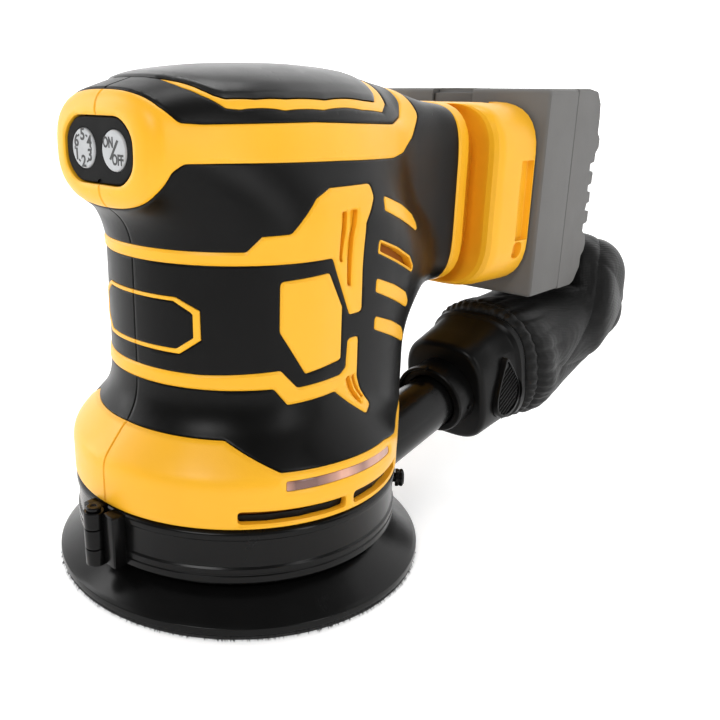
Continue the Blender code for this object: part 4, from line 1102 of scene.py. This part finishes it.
CLIP_MIDDLE, CLIP_DROP = 43.9, 0.6
CLIP_LENGTH, CLIP_HEIGHT = 12.2, 12.6
CLIP_FACE = 19.25  # where its ribs lie, from the connector's middle
CONNECTOR_BELL = [
    (29.0, 15.6, 18.6), (29.1, 16.2, 19.2), (29.5, 16.9, 19.9), (30.2, 17.4, 20.4), (31.4, 17.7, 20.7),
    (40.0, 18.3, 21.1), (50.4, 19.1, 21.7), (51.0, 19.4, 21.9), (51.7, 20.3, 22.5), (52.1, 20.7, 22.8),
    (54.6, 20.9, 22.9), (55.1, 20.6, 22.6),
]


def teardrop(inset=0.0, steps=48):
    """Outline (downwards, along the connector) of a finger pad, pointed at its top."""
    t = np.linspace(0, math.tau, steps, endpoint=False)
    lean = np.sin(t)
    width = (CLIP_LENGTH - inset) * (0.60 + 0.40 * lean) * np.cos(t)
    return np.column_stack([(CLIP_HEIGHT - inset) * lean + CLIP_DROP, CLIP_MIDDLE + width])


def clip_plate(name, side, inner, outer, inset=0.0, edge=0.0):
    steps = ((inner, 0), (outer - edge, 0), (outer - edge * 0.3, edge * 0.3), (outer, edge))
    rings = [np.insert(teardrop(inset + more), 0, side * x, axis=1) for x, more in steps]
    return loft(name, rings, frame=OUTLET)


def build_connector():
    bell = outlet_loft("connector_bell", CONNECTOR_BELL)
    neck_profile = [(10.8, 20.0), (13.1, 20.0, 0.4), (13.6, 20.7, 0.4), (13.6, 30.0), (10.8, 30.0)]
    neck = turned("neck", neck_profile, 0.1, OUTLET, 128)
    hollow = outlet_loft("hollow", [(32.0, 14.0, 17.0), (56.0, 17.2, 19.6)])
    bore = rod("bore", outlet_point(10), outlet_point(40), 10.8, 96)
    boolean(bell, [bore, hollow, *[clip_plate("way", side, 12, 30, -0.3) for side in (1, -1)]])
    lip_profile = [(13.4, 18.9, 0.2), (14.5, 18.7, 0.4), (14.6, 20.9, 0.5), (13.4, 21.6, 0.2)]
    lip = turned("neck_lip", lip_profile, 0.2, OUTLET, 64, (math.radians(165), math.radians(268)))
    pin = rod("neck_pin", outlet_point(26.0, 12.9, 2.0), outlet_point(26.0, 14.0, 2.2), 1.05, 32)
    merge(bell, neck, lip, pin)
    dress(bell, "black", "dust_collector", "bag_connector")
    for side, label in ((1, "right"), (-1, "left")):
        clip = clip_plate(f"clip_{label}_pad", side, 16.0, 19.9, 0.0, 0.4)
        boolean(clip, [clip_plate("recess", side, 19.2, 26, 1.3)])
        ribs = []
        for i in range(10):
            v = -6.4 + 1.85 * i
            down = v - CLIP_DROP
            reach = 9.9 * (0.60 + 0.40 * down / CLIP_HEIGHT) * math.sqrt(max(1 - (down / 11.6) ** 2, 0.02))
            ends = [outlet_point(CLIP_MIDDLE + way * reach, side * CLIP_FACE, v - way * 0.35 * reach)
                    for way in (-1, 1)]
            ribs.append(rod("rib", *ends, 0.5, 12))
        merge(clip, *ribs)
        dress(clip, "black", f"clip_{label}", f"clip_{label}")


BAG_STATIONS = (  # distance along the outlet, half width, drop below its axis, rise above it
    (59.0, 21.2, 23.0, 22.6), (61.5, 24.4, 26.6, 24.6), (66.0, 26.6, 28.8, 24.2),
    (76.0, 27.0, 28.9, 21.6), (87.0, 26.5, 26.8, 19.2), (98.0, 26.5, 24.4, 17.5),
    (106.5, 27.4, 23.6, 20.0), (113.0, 27.6, 23.0, 31.0), (125.0, 26.2, 21.8, 33.2),
    (138.0, 23.2, 20.2, 27.4), (148.0, 17.6, 16.8, 17.6), (154.0, 11.0, 11.6, 8.4),
    (157.4, 3.0, 5.0, 1.0),
)
BAG_CEILING, PACK_BACK = 70.8, 161.6  # the bag keeps below the pack and behind it
GATHERS = 37
HEM_STATIONS = (  # distance along the outlet, how far it stands out from the hoop
    (55.3, -0.5), (55.4, 1.0), (56.6, 2.3), (58.2, 2.9), (59.8, 2.7), (61.2, 1.6), (62.0, 0.2),
)


def build_bag():
    around, rows = 256, 150
    rng = np.random.default_rng(9)
    phase = rng.uniform(0, math.tau, 8)
    first, last = BAG_STATIONS[0][0], BAG_STATIONS[-1][0]

    def gathering(a, share):
        return share * np.sin(GATHERS * a + 3.5 * np.sin(3 * a + phase[0]))

    rings = []
    for t in np.linspace(0, 1, rows):
        s = first + (last - first) * (1 - (1 - t) ** 1.25)
        half, below, above = (float(v) for v in along(BAG_STATIONS, s))
        amount = step((s - 62) / 16) * step((last + 2 - s) / 14)

        def folds(a):
            gather = gathering(a, 0.016 * math.exp(-(s - first) / 6.0))
            pleat = np.sin(8.5 * a + 1.6 * np.sin(2 * a + phase[1]) + 0.02 * s)
            pleat = (np.abs(pleat) ** 0.7 - 1) * 0.030 * math.exp(-((s - 66) / 12) ** 2)
            fold = np.sin(1.5 * a + 0.036 * s + 0.7 * np.sin(a + 0.05 * s) + phase[2])
            fold = np.abs(fold) ** 0.55 - 1
            cross = np.sin(2 * a - 0.055 * s + 0.5 * np.sin(3 * a + phase[3]) + phase[4])
            cross = np.abs(cross) ** 0.6 - 1
            soft = np.sin(3 * a + 0.08 * s + phase[5]) * np.sin(0.13 * s + phase[6] + a)
            return gather + pleat + amount * (0.075 * fold + 0.05 * cross + 0.016 * soft)

        rings.append(oval(s, half, below, above, 2.15 + 0.8 * step((s - 100) / 20), around, folds))
    points = np.concatenate([*rings, [rings[-1].mean(0)]])
    world = np.array(OUTLET)
    points = points @ world[:3, :3].T + world[:3, 3] / MM
    under = (points[:, 2] > BAG_CEILING) & (points[:, 1] < PACK_BACK) & (points[:, 1] > 112)
    sink, push = points[:, 2] - BAG_CEILING, PACK_BACK - points[:, 1]
    points[under & (sink <= push), 2] = BAG_CEILING
    points[under & (sink > push), 1] = PACK_BACK
    end = (rows - 1) * around
    tip = [(end + i, end + (i + 1) % around, rows * around) for i in range(around)]
    bag = make_mesh("bag_cloth", points, tube_faces(around, rows) + tip, 70)
    dress(bag, "cloth", "dust_collector", "dust_bag")

    rims = []
    for s, lift in HEM_STATIONS:
        share = 0.009 if lift > 0.5 else 0.0
        rims.append(oval(s, 20.6 + lift, 22.6 + lift, 22.4 + lift, 2.4, 320, lambda a: gathering(a, share)))
    hem = loft("bag_hem", rims, 50, False, OUTLET)
    dress(hem, "cloth", "dust_collector", "bag_hoop")


# ---------------------------------------------------------------- studio

FLOOR, STUDIO = -0.2, 3000  # height of the floor and reach of the room, mm
WALL_RADIUS, WALL_TURN = 2600, 136  # a half round wall behind the object, as the camera sees it
LIGHTS = (  # name, place, aimed at, size, watts
    ("key", (0.30, -0.85, 0.85), (0, 0.02, 0.08), (0.42, 0.42), 5.0),
    ("side", (0.95, 0.05, 0.45), (0, 0.04, 0.09), (0.16, 0.8), 2.6),
    ("left_strip", (-0.75, -0.45, 0.40), (0, 0.0, 0.08), (0.16, 0.8), 1.9),
    ("top", (-0.15, 0.25, 1.05), (0, 0.05, 0.10), (0.6, 0.3), 3.6),
)


def build_paper(name, points, faces, tone, glow):
    """Part of the studio's pale paper, lit a little from within."""
    made = make_mesh("studio_" + name, points, faces)
    look = moulded(name + "_paper_look", tone, tone - 0.01, 0.9, 0.05, Emission_Color=(1, 1, 1, 1),
                   Emission_Strength=glow)
    made.data.materials.append(look)


def build_studio():
    corners = [(x * STUDIO, y * STUDIO, FLOOR) for x, y in ((-1, -1), (1, -1), (1, 1), (-1, 1))]
    build_paper("floor", corners, [(0, 1, 2, 3)], 0.86, 0.42)
    turns = [math.radians(WALL_TURN + a) for a in range(-100, 101, 10)]
    foot = [(WALL_RADIUS * math.cos(a), WALL_RADIUS * math.sin(a), FLOOR) for a in turns]
    n = len(foot)
    quads = [(i, i + 1, i + 1 + n, i + n) for i in range(n - 1)]
    build_paper("wall", foot + [(x, y, STUDIO) for x, y, _ in foot], quads, 0.8, 1.0)

    scene = bpy.context.scene
    scene.world = bpy.data.worlds.new("studio_world")
    scene.world.use_nodes = True
    sky = scene.world.node_tree.nodes["Background"]
    sky.inputs["Color"].default_value = (1, 1, 1, 1)
    sky.inputs["Strength"].default_value = 0.24
    for name, at, target, size, watts in LIGHTS:
        lamp = bpy.data.lights.new(name, "AREA")
        lamp.shape = "RECTANGLE"
        lamp.size, lamp.size_y = size
        lamp.energy = watts
        holder = add_object(name, lamp)
        holder.location = at
        holder.rotation_euler = (Vector(target) - Vector(at)).to_track_quat("-Z", "Y").to_euler()

    lens = bpy.data.cameras.new("photo_camera")
    lens.lens, lens.sensor_width, lens.shift_x = 42.5, 36.0, 0.1507
    camera = add_object("photo_camera", lens)
    camera.location = (0.19796, -0.18460, 0.15481)
    camera.rotation_mode = "QUATERNION"
    camera.rotation_quaternion = Vector((-0.68208, 0.66151, -0.31172)).to_track_quat("-Z", "Y")
    scene.camera = camera
    scene.view_settings.view_transform = "Standard"


def dress_frame():
    """Every CAD node that stays gets the look of its material slot."""
    for node in frame["nodes"].values():
        for i, material in enumerate(node.data.materials):
            node.data.materials[i] = FINISHES[LOOK_OF_SLOT[material.name]]


dress_frame()
build_body()
build_pad()
build_base()
build_nose()
build_foot()
build_pack()
build_connector()
build_bag()
build_studio()
